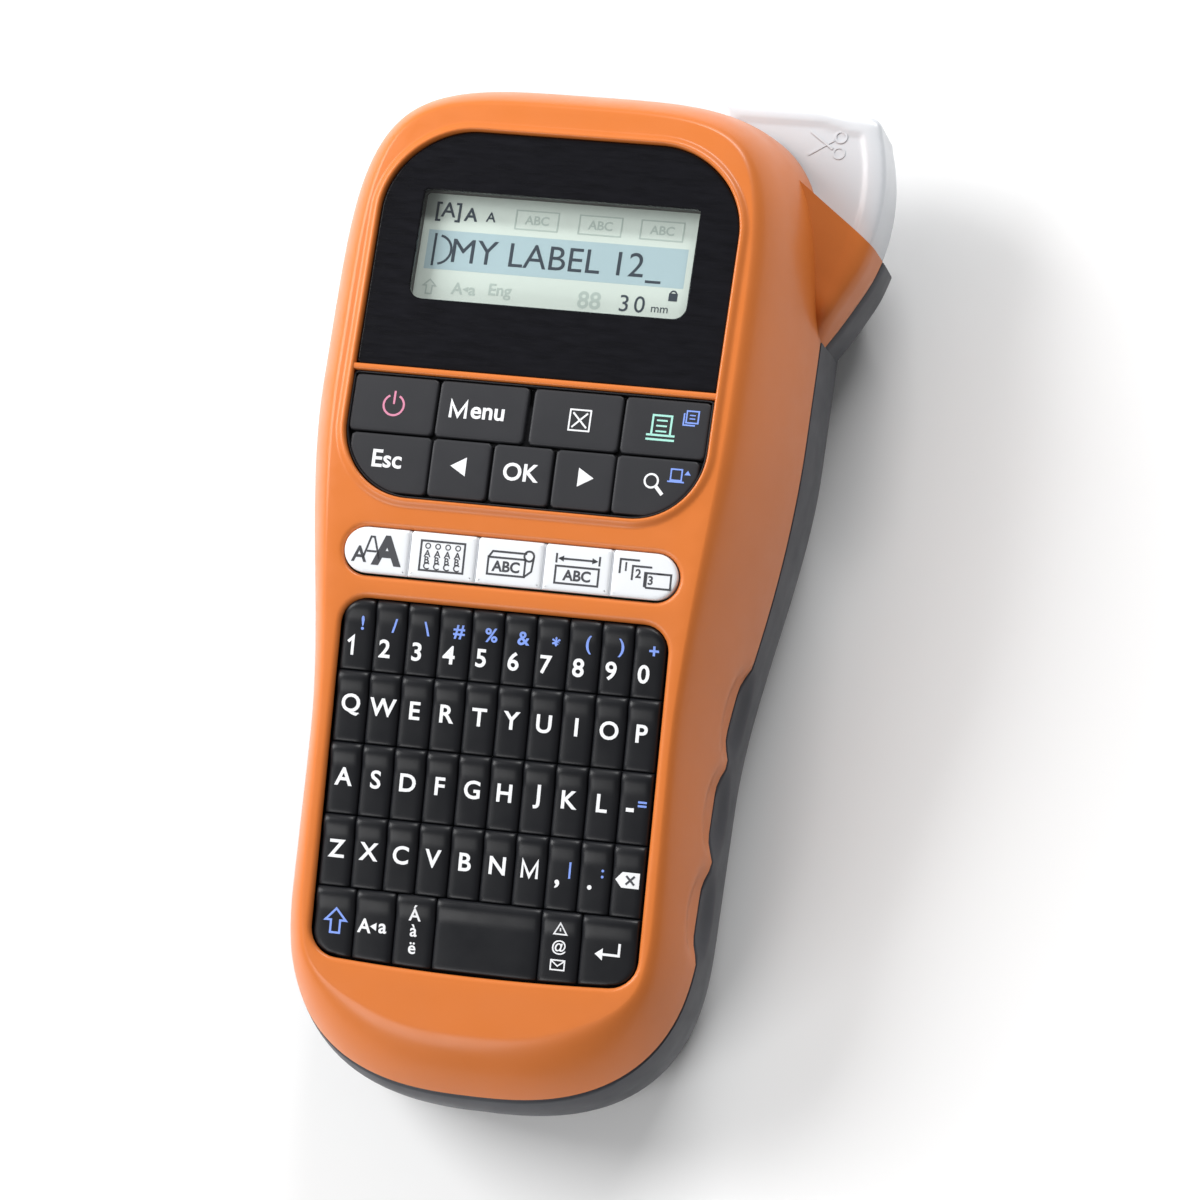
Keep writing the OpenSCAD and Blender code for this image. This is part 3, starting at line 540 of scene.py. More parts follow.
def scalloped(p, n, z):
    """Finger scallops on both sides: the point moved inwards near each one."""
    if abs(p[0]) < 30:
        return p
    depth = 0.0
    for y in SCALLOP_Y:
        r2 = ((p[1] - y) / SCALLOP_HALF[0]) ** 2 + ((z - SCALLOP_Z) / SCALLOP_HALF[1]) ** 2
        depth = max(depth, SCALLOP_DEPTH * smooth(1.2 * (1 - r2)))
    return (p[0] - n.x * depth, p[1] - n.y * depth)


def shell_ring(share, t, step=0.0, dz=0.0):
    """One ring of the front shell's side, share of the way from the seam to the face, thinned by t.

    step moves the ring inwards, and dz lifts its start above the seam.
    """
    pts = []
    for (x, y), n in zip(RIM, RIM_N):
        start = math.asin((seam_at(y) + dz - SEAM) / (face_z(y) - SEAM))
        a = start + (math.pi / 2 - start) * share
        inset = t + inset_at(y) * (1 - max(0.0, math.cos(a)) ** SHELL_POW) + step
        q = (x - n.x * inset, y - n.y * inset)
        z = SEAM + (face_z(q[1]) - t - SEAM) * math.sin(a)
        q = scalloped(q, n, z)
        pts.append((q[0], q[1], z))
    return pts


def front_shell():
    form = Form()
    steps = 28
    outer = [form.loop(shell_ring(0, 0, SEAM_EDGE)), form.loop(shell_ring(0, 0, 0, SEAM_EDGE))]
    shares = [k / steps for k in range(1, steps + 1)]
    outer += [form.loop(shell_ring(share, 0, 0, SEAM_EDGE * (1 - share))) for share in shares]
    inner = [form.loop(shell_ring(k / 14, SKIN)) for k in range(15)]
    for rings in (outer, inner, (outer[0], inner[0])):
        form.bridge(*rings)
    openings = ((shield_outline, LIP_EDGE), (strip_outline, SOFT_EDGE), (pad_outline, SOFT_EDGE))
    for outline, edge in openings:
        form.bridge(*[form.ring(outline(d), h, on_face) for d, h in edge])
    high = [form.points[i][:2] for i in outer[-1]]
    low = [form.points[i][:2] for i in inner[-1]]
    form.sheet(high, [outline(edge[0][0]) for outline, edge in openings], on_face, 2.2)
    form.sheet(low, [outline(0) for outline, _ in openings], lambda x, y: face_z(y) - SKIN, 3.5)
    obj = form.build("front_shell_skin", 42)
    carve(obj, lever_notch(NOTCH_FRONT), 42)
    place(obj, "root", MAT["orange"], ["front_shell"])


def divider():
    """Thin bar between the window and the function pad."""
    form = Form()
    y0, y1 = DIVIDER
    section = [(y0, -1.2), (y1, -1.2), (y1, 0.25), (y1 - 0.2, 0.45), (y0 + 0.2, 0.45), (y0, 0.25)]
    xs = [-SHIELD_HALF - 0.5 + (2 * SHIELD_HALF + 1) * i / 40 for i in range(41)]
    form.loft([[(x, y, face_z(y) + h) for y, h in section] for x in xs])
    place(form.build("divider_bar", 50), "root", MAT["orange"])


# ---------------------------------------------------------------- lever, its notch and its shoulder
PIVOT = (17.5, 88.5)
LEVER_R = 42.0
LEVER_Z = (18.8, 33.2)
# Height of the notch's floor in the front shell and in the rear case, and of its top
NOTCH_FRONT, NOTCH_REAR, NOTCH_TOP = 17.0, 18.4, 33.6


def lever_angle(y, r):
    """Angle, in degrees about the lever's pivot, where a circle of radius r reaches y."""
    return math.degrees(math.asin((y - PIVOT[1]) / r))


def lever_notch(z0):
    """Room for the lever: a wide slot at the top end and a round pocket down the side."""
    r = LEVER_R + 0.4
    low, high = 65.0, 121.5
    side = arc(*PIVOT, r, lever_angle(low, r), lever_angle(high, r), 40)
    pts = [(22.6, 81.5), (34, 81.5), (34, low)] + side + [(22.6, high)]
    return prism("notch_cutter", pts, z0, NOTCH_TOP)


def lever_outline():
    """Grip of the lever: straight top edge, small corner, round outer edge."""
    top, corner = 105.2, 3.0
    side = arc(*PIVOT, LEVER_R, lever_angle(73.2, LEVER_R), lever_angle(top - corner, LEVER_R), 60)
    x, y = side[-1]
    pts = side + arc(x - corner + 0.05, top - corner, corner, 12, 90, 8)
    pts += [(24, top), (25, 98.6), (34, 96), (44, 84), (47.2, 73.2)]
    return resample(pts, 1.1)


def edge_gap(p, points):
    """Distance from a point to a closed outline."""
    best = 1e9
    for i in range(len(points)):
        (x0, y0), (x1, y1) = points[i - 1], points[i]
        dx, dy = x1 - x0, y1 - y0
        t = min(1.0, max(0.0, ((p[0] - x0) * dx + (p[1] - y0) * dy) / (dx * dx + dy * dy)))
        best = min(best, math.hypot(p[0] - x0 - t * dx, p[1] - y0 - t * dy))
    return best


def lever():
    form = Form()
    z0, z1 = LEVER_Z
    outline = lever_outline()

    def crest(x, y):
        """Rolled edge, raised border and the flat panel inside it."""
        d = edge_gap((x, y), outline)
        side = smooth((x - 44) / 8)
        roll = 1.6 + 1.6 * side
        fall = 0.5 + 0.7 * side
        edge = fall * (1 - math.sqrt(max(0.0, 1 - max(0.0, 1 - d / roll) ** 2)))
        return z1 - 0.02 - edge - 0.45 * smooth((d - roll - 0.5) / 1.0)

    rows = [(0.7, z0), (0.2, z0 + 0.25), (0, z0 + 0.8), (0, z1 - 1.6), (0.05, z1 - 1.25)]
    last = grow(outline, -0.2)
    form.bridge(*[form.ring(grow(outline, -d), z) for d, z in rows], form.ring(last, 0, crest))
    form.sheet(last, [], crest, 0.75, 0.3)
    form.sheet(grow(outline, -rows[0][0]), [], lambda x, y: z0, 0)
    grip = form.build("lever_grip", 50)
    place(grip, "cutter_lever", MAT["lever"], ["cutter_lever"])
    arm = Form()
    soft = [(0.4, 25.0), (0, 25.4), (0, 30.6), (0.4, 31.0)]
    plate = [(17.5, 83.2), (46, 84.6), (36, 98), (26, 100), (17.5, 93.9)]
    finger = [(13, 87), (17.5, 93.6), (14, 92.6), (5.6, 94), (5.6, 98.4), (3.2, 98.4), (3.2, 91.6)]
    slab(arm, resample(plate, 1.5), soft, grid=0)
    slab(arm, finger, [(0, 25.0), (0, 31.0)], grid=0)
    place(arm.build("lever_arm"), "cutter_lever", MAT["lever"])
    hub = Form()
    slab(hub, arc(*PIVOT, 5.5, 0, 352.5, 47), [(0.3, 24.8), (0, 25.1), (0, 31.1), (0.3, 31.4)], grid=0)
    hub = hub.build("lever_hub")
    carve(hub, prism("hub_bore", arc(*PIVOT, 2.05, 0, 345, 23), 20, 40))
    place(hub, "cutter_lever", MAT["lever"])


def line_at(points, s):
    """Point at share s along a list of points, smoothed."""
    n = len(points) - 1
    f = min(max(s, 0), 1) * n
    i = min(int(f), n - 1)
    t = f - i
    p0, p1, p2, p3 = points[max(i - 1, 0)], points[i], points[i + 1], points[min(i + 2, n)]
    return tuple(0.5 * ((2 * b) + (c - a) * t + (2 * a - 5 * b + 4 * c - d) * t * t
                        + (3 * b - a - 3 * c + d) * t ** 3) for a, b, c, d in zip(p0, p1, p2, p3))


# Shoulder: outer edge (x, y, level of the seam), ridge level and inner root, from its low end to its tip
EDGE = [(45.6, 50.5, 22.0), (49.4, 56.5, 25.0), (52.6, 61.5, 25.6), (55.4, 66.6, 25.6), (58.0, 72.0, 25.4),
        (59.55, 77.0, 25.0)]
RIDGE = [(24.0,), (29.0,), (34.2,), (35.4,), (36.0,), (36.4,)]
ROOT = [(42.0, 53.0, 25.0), (43.0, 60.0, 32.0), (43.5, 68.0, 37.0), (43.6, 75.0, 39.8), (43.4, 82.0, 41.4),
        (42.6, 88.6, 42.4)]
RIM_GAP = 0.45


def curve(start, corner, end, n):
    """Points from start to end, bent towards corner."""
    pts = []
    for k in range(n + 1):
        t = k / n
        a, b = (1 - t) ** 2, 2 * t * (1 - t)
        pts.append(tuple(a * p + b * q + t * t * r for p, q, r in zip(start, corner, end)))
    return pts


def shoulder_section(s):
    """Top of the shoulder from its root out to the seam, at share s."""
    xe, ye, ze = line_at(EDGE, s)
    (zr,) = line_at(RIDGE, s)
    xr, yr, zt = line_at(ROOT, s)
    lean = 0.35
    bow, reach = 0.42, 0.72
    mid = (xr + (xe - xr) * bow, yr + (ye - yr) * bow, (zt + zr) / 2 - 0.4)
    end = (xr + (xe - xr) * reach, yr + (ye - yr) * reach, zr + 0.9)
    pts = curve((xr, yr, zt), mid, end, 12)
    low = (xe - lean * 0.6, ye, max(ze + 0.4, zr - 3.6))
    pts += curve(pts[-1], (xe - lean, ye, zr + 0.5), low, 8)[1:]
    for k in range(1, 5):
        t = k / 4
        pts.append(tuple(p + (q - p) * t for p, q in zip(low, (xe, ye, ze + 0.3))))
    pts.append((xe - 0.3, ye, ze))
    return pts


def shoulder():
    n = 36
    front, rear = Form(), Form()
    sections, lower = [], []
    for i in range(n + 1):
        s = i / n
        xe, ye, ze = line_at(EDGE, s)
        xr, yr, _ = line_at(ROOT, s)
        sections.append(shoulder_section(s) + [(xr, yr, ze)])
        zs = ze - RIM_GAP
        lower.append([(xr - 0.5, yr, zs), (xe - 0.3, ye, zs), (xe, ye, zs - 0.3), (xe + 0.05, ye, zs - 3),
                      (xe, ye, 14.5), (xe - 0.25, ye, 13.2), (xe - 0.9, ye, 11.9), (xe - 3.0, ye - 0.4, 8.4),
                      (xe - 5.2, ye - 0.8, 5.0), (xe - 6.4, ye - 1.2, 3.6), (xe - 8, ye - 1.6, 3.0),
                      (xr - 0.5, yr - 3, 3.0)])
    front.loft(sections)
    hood = front.build("shoulder_hood", 44)
    carve(hood, lever_notch(NOTCH_FRONT), 44)
    place(hood, "root", MAT["orange"])
    rear.loft(lower)
    ramp = rear.build("shoulder_ramp", 44)
    carve(ramp, lever_notch(NOTCH_REAR), 44)
    place(ramp, "root", MAT["dark"])


# ---------------------------------------------------------------- rear case and its cover
REAR_INSET = 6.0
WALL, FLOOR = 2.2, 2.2
COVER_INSET = 8.6
BULKHEAD_Y = 12.0
DECK_Z = 15.4
RIB = 1.6
CELL_Y = (-91.4, -45.6)
CELL_PITCH, CELL_Z, CELL_ROOM = 12.5, 8.6, 5.55


def rear_ring(a, t, z0):
    """One ring of the rear case's round lower edge, at angle a from its foot at z0 up to the widest line."""
    inset = t + REAR_INSET * (1 - math.sin(a))
    z = z0 + (SEAM - z0) * (1 - math.cos(a))
    pts = []
    for (x, y), n in zip(RIM, RIM_N):
        q = scalloped((x - n.x * inset, y - n.y * inset), n, z)
        pts.append((q[0], q[1], z))
    return pts


def side_ring(share, t, drop):
    """One ring of the rear case's side between its widest line and the seam."""
    pts = []
    for (x, y), n in zip(RIM, RIM_N):
        z = SEAM + (seam_at(y) - drop - SEAM) * share
        a = math.asin((z - SEAM) / (face_z(y) - SEAM))
        inset = t + inset_at(y) * (1 - math.cos(a) ** SHELL_POW)
        q = scalloped((x - n.x * inset, y - n.y * inset), n, z)
        pts.append((q[0], q[1], z))
    return pts


def rear_case():
    form = Form()
    steps, gap = 16, 0.3
    outer = [form.ring(rim_in(lambda y: COVER_INSET), 0.0)]
    outer += [form.loop(rear_ring(math.radians(90 * k / steps), 0, 0)) for k in range(steps + 1)]
    outer += [form.loop(side_ring(k / 9, 0, gap + 0.3)) for k in range(1, 10)]
    outer += [form.loop(side_ring(1, 0.35, gap)), form.loop(side_ring(1, SKIN, gap))]
    outer += [form.loop(side_ring(k / 6, SKIN, gap)) for k in range(5, 0, -1)]
    outer += [form.loop(rear_ring(math.radians(90 * k / 8), SKIN, FLOOR)) for k in range(8, -1, -1)]
    outer += [form.ring(rim_in(lambda y: COVER_INSET), FLOOR)]
    form.bridge(*outer, outer[0])
    obj = form.build("rear_case_skin", 40)
    carve(obj, jack_cutter(), 40)
    carve(obj, prism("tape_cut", box(12.7, 15.3, 96, 108), 3.7, 17.3), 40)
    carve(obj, lever_notch(NOTCH_REAR), 40)
    place(obj, "root", MAT["dark"], ["rear_case"])


def jack_cutter():
    """Round hole for the adapter's inlet in the bottom end."""
    circle = arc(0, 9.4, 4.6, 0, 351, 39)
    form = Form()
    form.loft([[(x, y, z) for x, z in circle] for y in (-108.0, -97.8)])
    return form.build("jack_cutter")


def inner_outline(inset, low, high):
    """Part of the body's outline between two heights."""
    pts = rim_in(lambda y: inset)
    return resample([(x, min(max(y, low), high)) for x, y in pts if low - 4 < y < high + 4], 2.0)


def deck():
    """Deck over the battery bay, bulkhead, cell saddles and the cover's ledge."""
    form = Form()
    plate = [(0.3, DECK_Z), (0, DECK_Z + 0.3), (0, 17.1), (0.3, 17.4)]
    slab(form, inner_outline(SKIN + 0.5, -110, BULKHEAD_Y), plate, grid=0)
    wide = half_w(BULKHEAD_Y) - WALL
    top = DECK_Z + 0.2
    section = [(-wide + 6, 2.9), (wide - 6, 2.9), (wide - 2.4, 5), (wide, top), (-wide, top), (2.4 - wide, 5)]
    form.loft([[(px, y, pz) for px, pz in section] for y in (BULKHEAD_Y - RIB, BULKHEAD_Y)])
    for y in CELL_Y:
        saddle(form, y + 4)
        saddle(form, y + 38.5)
    place(form.build("battery_deck", 40), "root", MAT["dark"])
    ledge = Form()
    loops = [ledge.ring(rim_in(lambda y, i=inset: i), z)
             for inset, z in ((7.2, 2.2), (10.4, 2.35), (10.4, 2.85), (7.2, 2.95))]
    ledge.bridge(*loops, loops[0])
    place(ledge.build("cover_ledge", 40), "root", MAT["dark"])


def saddle(form, y):
    """Rib under the deck, cut round for three cells."""
    half, low, top = 20.75, CELL_Z + 1, DECK_Z + 0.1
    section = [(-half, top), (-half, low)]
    for x in (-CELL_PITCH, 0, CELL_PITCH):
        section += arc(x, CELL_Z, CELL_ROOM, 170, 10, 16)
    section += [(half, low), (half, top)]
    form.loft([[(px, yy, pz) for px, pz in section] for yy in (y, y + RIB)])


def back_cover():
    form = Form()
    outline = rim_in(lambda y: COVER_INSET + 0.3)
    slab(form, outline, [(0.5, 0), (0.15, 0.1), (0, 0.45), (0, 2.0)], grid=6)
    obj = form.build("back_cover_panel", 40)
    carve(obj, prism("thumb_cut", rounded_box(-12, 12, -89, -83, 2.9, 2.9, 8), -1, 0.8), 40)
    for i in range(5):
        y = 60 - i * 3.2
        carve(obj, prism("grip_cut", rounded_box(-11, 11, y - 0.6, y + 0.6, 0.58, 0.58, 4), -1, 0.45), 40)
    place(obj, "back_cover", MAT["dark"], ["back_cover"])
    ribs = Form()
    for y in (-72, -30):
        slab(ribs, box(-15, 15, y, y + 1.2), [(0, 1.8), (0, 2.6), (0.25, 2.9)], grid=0)
    place(ribs.build("cover_ribs"), "back_cover", MAT["dark"])


# ---------------------------------------------------------------- window and screen
LCD_Y, LCD_Z = 63.4, 54.8
LCD_W, LCD_L = 56.0, 21.8
APERTURE = (-28.6, 28.6, 52.1, 75.0)


def window():
    form = Form()
    half, low = SHIELD_HALF - SIDE_GAP, DIVIDER[1] + SIDE_GAP
    pts = rounded_box(-half, half, low, WINDOW_TOP - SIDE_GAP, 0.4, WINDOW_R, 26)
    outline = resample(crowned(pts, 60, WINDOW_TOP, SHIELD_HALF), 1.2)
    x0, x1, y0, y1 = APERTURE
    hole = resample(rounded_box(x0, x1, y0, y1, 2.6, 0.5, 8), 0.8)
    low_z, top_z = 57.5, 58.9
    edge = [(0, low_z), (0, 58.55), (0.1, 58.75), (0.3, 58.88), (0.55, top_z)]
    rim = [(0.25, top_z), (0, 58.65), (0, low_z)]
    form.bridge(*[form.ring(grow(outline, -d), z) for d, z in edge])
    form.bridge(*[form.ring(grow(hole, d), z) for d, z in rim])
    form.sheet(grow(outline, -edge[-1][0]), [grow(hole, rim[0][0])], lambda x, y: top_z, 3)
    form.sheet(outline, [hole], lambda x, y: low_z, 0)
    place(form.build("window_border", 35), "root", MAT["window"], ["display_window"])
    pane = Form()
    slab(pane, grow(hole, -0.03), [(0, 57.9), (0, 58.6)], grid=0)
    place(pane.build("window_pane"), "root", MAT["pane"])


def lcd():
    form = Form()
    w, l = LCD_W / 2 + 3, LCD_L / 2 + 2.5
    pts = [(x, y + LCD_Y) for x, y in rounded_box(-w, w, -l, l, 0.8, 0.8, 4)]
    slab(form, resample(pts, 2), [(0, LCD_Z - 2), (0, LCD_Z - 0.1), (0.1, LCD_Z)], grid=0)
    place(form.build("lcd_glass"), "root", MAT["lcd"], ["lcd_panel"])


# ---------------------------------------------------------------- function pad, quick keys and letter keys
FUNC_DROP = 0.27
FUNC_RIM = 0.55
FUNC_TRAY = -2.75
FUNC_TEXT = 4.9
FUNC_TOP = ((-28, 17.4), (-9.7, 18.4), (9.7, 18.4), (28, 17.4))
FUNC_BOT = ((-27.5, 16.8), (-12.75, 12.2), (0, 12.3), (12.75, 12.2), (27.5, 16.8))
FUNC_ROWS = ((29.78, 11.5), (17.78, 11.7))
FUNC_NAMES = ("power_key", "menu_key", "cancel_key", "print_key",
              "escape_key", "left_key", "ok_key", "right_key", "preview_key")


def func_half(y, d):
    """Half width of the function pad's outline at y, moved out by d."""
    r = FUNC_R + d
    low = FUNC_LOW - d
    if y >= low + r:
        return SHIELD_HALF + d
    return SHIELD_HALF + d - corner_in(r, min(r, low + r - y))


def func_key_outline(x, w, row):
    """Rounded key of width w about x, kept inside the pad's edge."""
    yc, l = FUNC_ROWS[row]
    r = 0.8
    y0 = max(yc - l / 2, FUNC_LOW + FUNC_RIM + 0.02)
    y1 = min(yc + l / 2 + (0.25 if row == 0 else 0), DIVIDER[0] - SIDE_GAP - FUNC_RIM)
    right, left = [], []
    for i in range(37):
        y = y0 + (y1 - y0) * (1 - math.cos(math.pi * i / 36)) / 2
        drop = max(0.0, r - min(y - y0, y1 - y))
        half = w / 2 - corner_in(r, drop)
        limit = func_half(y, -FUNC_RIM)
        right.append((min(x + half, limit), y))
        left.append((max(x - half, -limit), y))
    return resample(right + left[::-1], 0.9)


def func_outlines():
    return [func_key_outline(x, w, row) for row, keys in enumerate((FUNC_TOP, FUNC_BOT)) for x, w in keys]


def function_pad():
    form = Form()
    half = SHIELD_HALF - SIDE_GAP
    pts = rounded_box(-half, half, FUNC_LOW + SIDE_GAP, DIVIDER[0] - SIDE_GAP, FUNC_R, 0.4, 22)
    outline = resample(pts, 1.1)
    base, wall = FUNC_TRAY - 0.5, 0.36
    rows = [(0, base), (0, -0.5), (0.06, -0.38), (0.15, -FUNC_DROP), (0.34, -FUNC_DROP), (wall, -0.4),
            (wall, FUNC_TRAY)]
    form.bridge(*[form.ring(grow(outline, -d), h, on_face) for d, h in rows])
    form.sheet(grow(outline, -wall), [], lambda x, y: face_z(y) + FUNC_TRAY, 3, 0.3)
    form.sheet(outline, [], lambda x, y: face_z(y) + base, 0)
    place(form.build("function_border", 40), "root", MAT["pad"], ["function_mat"])
    for name, outline in zip(FUNC_NAMES, func_outlines()):
        form = Form()
        rows = [(0, -1.65), (0, -0.75), (0.08, -0.5), (0.22, -0.34), (0.4, -0.29), (0.7, -FUNC_DROP)]
        slab(form, outline, rows, on_face, 2.2)
        place(form.build(name + "_cap", 45), name, MAT["pad"], [name])


STRIP_CUTS = (-34.6, -20.8, -6.9, 6.9, 20.8, 34.6)
STRIP_TOP = 0.3
STRIP_NAMES = ("style_key", "frame_key", "cassette_key", "width_key", "number_key")


def strip_keys():
    half, length = STRIP_HALF_W - 0.3, STRIP_HALF_L - 0.3
    rows = [(0, -2.5), (0, -0.25), (0.1, 0.02), (0.3, 0.18), (0.6, 0.27), (1.0, STRIP_TOP)]
    for i, name in enumerate(STRIP_NAMES):
        x0, x1 = STRIP_CUTS[i] + 0.12, STRIP_CUTS[i + 1] - 0.12
        right, left = [], []
        for k in range(33):
            v = length * -math.cos(math.pi * k / 32)
            reach = half - corner_in(length, v)
            right.append((min(x1, reach), v))
            left.append((max(x0, -reach), v))
        pts = resample(right + left[::-1], 0.8)
        form = Form()
        rings = [[strip_plane(u, v, w) for u, v in grow(pts, -inset)] for inset, w in rows]
        form.bridge(*[form.loop(ring) for ring in rings])
        for k, grid in ((-1, 2), (0, 0)):
            form.sheet([p[:2] for p in rings[k]], [], strip_level(rows[k][1]), grid)
        place(form.build(name + "_cap", 45), name, MAT["white"], [name])


def strip_ribs():
    """Thin webs between the quick keys."""
    form = Form()
    for x in STRIP_CUTS[1:-1]:
        web = box(x - 0.05, x + 0.05, -4.5, 4.5)
        form.loft([[strip_plane(u, v, w) for u, v in web] for w in (-2.2, -0.05)])
    place(form.build("strip_ribs"), "root", MAT["white"])


KEY_GAP, KEY_H = 0.14, 2.8
CAP_HALF_W, CAP_HALF_L, CAP_R = 33.4, 36.05, 5.1


def pad_half(v, low):
    """Half width of the keypad's keys at v."""
    edge = CAP_HALF_L if v > 0 else -low
    return CAP_HALF_W - corner_in(CAP_R, max(0.0, CAP_R - (edge - abs(v))))


def key_relief(a, b):
    """Top of a key: crowned across, with a soft ridge at its upper edge. a and b run from -1 to 1."""
    return -0.62 - 0.12 * a * a - 0.22 * a ** 6 + 0.62 * smooth((b - 0.3) / 0.52)


def rolled(gap, reach, depth):
    """Fall of a rounded edge of the given reach and depth, gap away from it."""
    t = min(1.0, max(0.0, 1 - gap / reach))
    return depth * (1 - math.sqrt(1 - t * t))


def key_span(start, span=1):
    """Left and right edge of a key, from its column and its span in pitches."""
    return (start - 5) * PITCH + KEY_GAP / 2, (start + span - 5) * PITCH - KEY_GAP / 2


def key_x(start, span=1):
    """Middle of a key across the pad."""
    return (start + span / 2 - 5) * PITCH


def row_v(row):
    """Middle of a row of keys along the pad."""
    return (2 - row) * ROW


def key_cap(form, row, start, span):
    """One letter key, as a grid over its top and a skirt down to its base."""
    x0, x1 = key_span(start, span)
    vc = row_v(row)
    hl = (ROW - KEY_GAP) / 2
    xc, hw = (x0 + x1) / 2, (x1 - x0) / 2
    nu, nv = max(14, int(14 * span ** 0.7)), 26
    low = -CAP_HALF_L + PAD_BOW * 0.8

    def lower(u):
        return vc - hl if row < 4 else max(vc - hl, pad_low(u) + 0.35)

    def spaced(i, n):
        t = i / n
        return 0.5 - 0.5 * math.cos(math.pi * t) * (1 - 0.25 * math.sin(math.pi * t) ** 2)

    grid = []
    for j in range(nv + 1):
        line = []
        for i in range(nu + 1):
            u = x0 + (x1 - x0) * spaced(i, nu)
            v0 = lower(u)
            v = v0 + (vc + hl - v0) * spaced(j, nv)
            reach = pad_half(v, low)
            u = min(max(u, -reach), reach)
            a, b = (u - xc) / hw, (v - vc) / hl
            drop = rolled(min(u - x0, x1 - u, reach - abs(u)), 0.9, 0.45) + rolled(v - v0, 0.8, 0.3) \
                + rolled(vc + hl - v, 1.7, 1.2)
            line.append(form.loop([pad_plane(u, v, key_relief(a, b) - drop)])[0])
        grid.append(line)
    for j in range(nv):
        for i in range(nu):
            form.faces.append((grid[j][i], grid[j][i + 1], grid[j + 1][i + 1], grid[j + 1][i]))
    rim = grid[0][:] + [grid[j][-1] for j in range(1, nv + 1)] + grid[-1][-2::-1] \
        + [grid[j][0] for j in range(nv - 1, 0, -1)]
    c, s = math.cos(KEY_SLOPE), math.sin(KEY_SLOPE)
    base = []
    for i in rim:
        x, y, z = form.points[i]
        w = (z - face_z(PAD_Y)) * c - (y - PAD_Y) * s
        base.append((x, y + (KEY_H + w) * s, z - (KEY_H + w) * c))
    loop = form.loop(base)
    form.bridge(rim, loop)
    form.faces.append(tuple(loop))


ROW_NAMES = ("digit_keys", "upper_keys", "middle_keys", "lower_keys")
# Name, column and span in pitches of each key in the bottom row
LOW_KEYS = (("shift_key", 0, 1.25), ("caps_key", 1.25, 1.25), ("accent_key", 2.5, 1.25),
            ("space_key", 3.75, 3.25), ("symbol_key", 7, 1.25), ("enter_key", 8.25, 1.75))


def letter_keys():
    for row, name in enumerate(ROW_NAMES):
        form = Form()
        for i in range(10):
            key_cap(form, row, i, 1)
        place(form.build(name + "_caps", 60, 0.0005), name, MAT["key"], [name])
    for name, start, span in LOW_KEYS:
        form = Form()
        key_cap(form, 4, start, span)
        place(form.build(name + "_cap", 60, 0.0005), name, MAT["key"], [name])


# ---------------------------------------------------------------- legends
PRINT_CELL, PRINT_SINK = 1.2, 0.10


def glyphs(text, size, bold):
    """Flat outline text, centred on the origin, as a bmesh in millimetres."""
    curve = bpy.data.curves.new("legend", "FONT")
    curve.body = text
    curve.size = size
    curve.offset = bold * size
    curve.resolution_u = 4
    curve.align_x = "CENTER"
    curve.align_y = "CENTER"
    obj = bpy.data.objects.new("legend", curve)
    bpy.context.scene.collection.objects.link(obj)
    graph = bpy.context.evaluated_depsgraph_get()
    mesh = bpy.data.meshes.new_from_object(obj.evaluated_get(graph))
    bm = bmesh.new()
    bm.from_mesh(mesh)
    bpy.data.objects.remove(obj)
    bpy.data.curves.remove(curve)
    bpy.data.meshes.remove(mesh)
    if bm.verts:
        ys = [v.co.y for v in bm.verts]
        xs = [v.co.x for v in bm.verts]
        bmesh.ops.translate(bm, vec=(-(min(xs) + max(xs)) / 2, -(min(ys) + max(ys)) / 2, 0), verts=bm.verts)
    return bm


def ribbon(points, width, closed=False):
    """Flat ribbon of even width along a line."""
    bm = bmesh.new()
    n = len(points)
    left, right = [], []
    for i, p in enumerate(points):
        a = points[i - 1] if closed or i else p
        b = points[(i + 1) % n] if closed or i < n - 1 else p
        d0 = Vector((p[0] - a[0], p[1] - a[1]))
        d1 = Vector((b[0] - p[0], b[1] - p[1]))
        d0 = d0 if d0.length else d1
        d1 = d1 if d1.length else d0
        m = (d0.normalized() + d1.normalized())
        m = m.normalized() if m.length > 1e-6 else d1.normalized()
        k = width / 2 / max(0.4, m.dot(d1.normalized()))
        left.append(bm.verts.new((p[0] - m.y * k, p[1] + m.x * k, 0)))
        right.append(bm.verts.new((p[0] + m.y * k, p[1] - m.x * k, 0)))
    for i in range(n if closed else n - 1):
        j = (i + 1) % n
        bm.faces.new((right[i], right[j], left[j], left[i]))
    return bm


def patch(points):
    bm = bmesh.new()
    bm.faces.new([bm.verts.new((x, y, 0)) for x, y in points])
    return bm


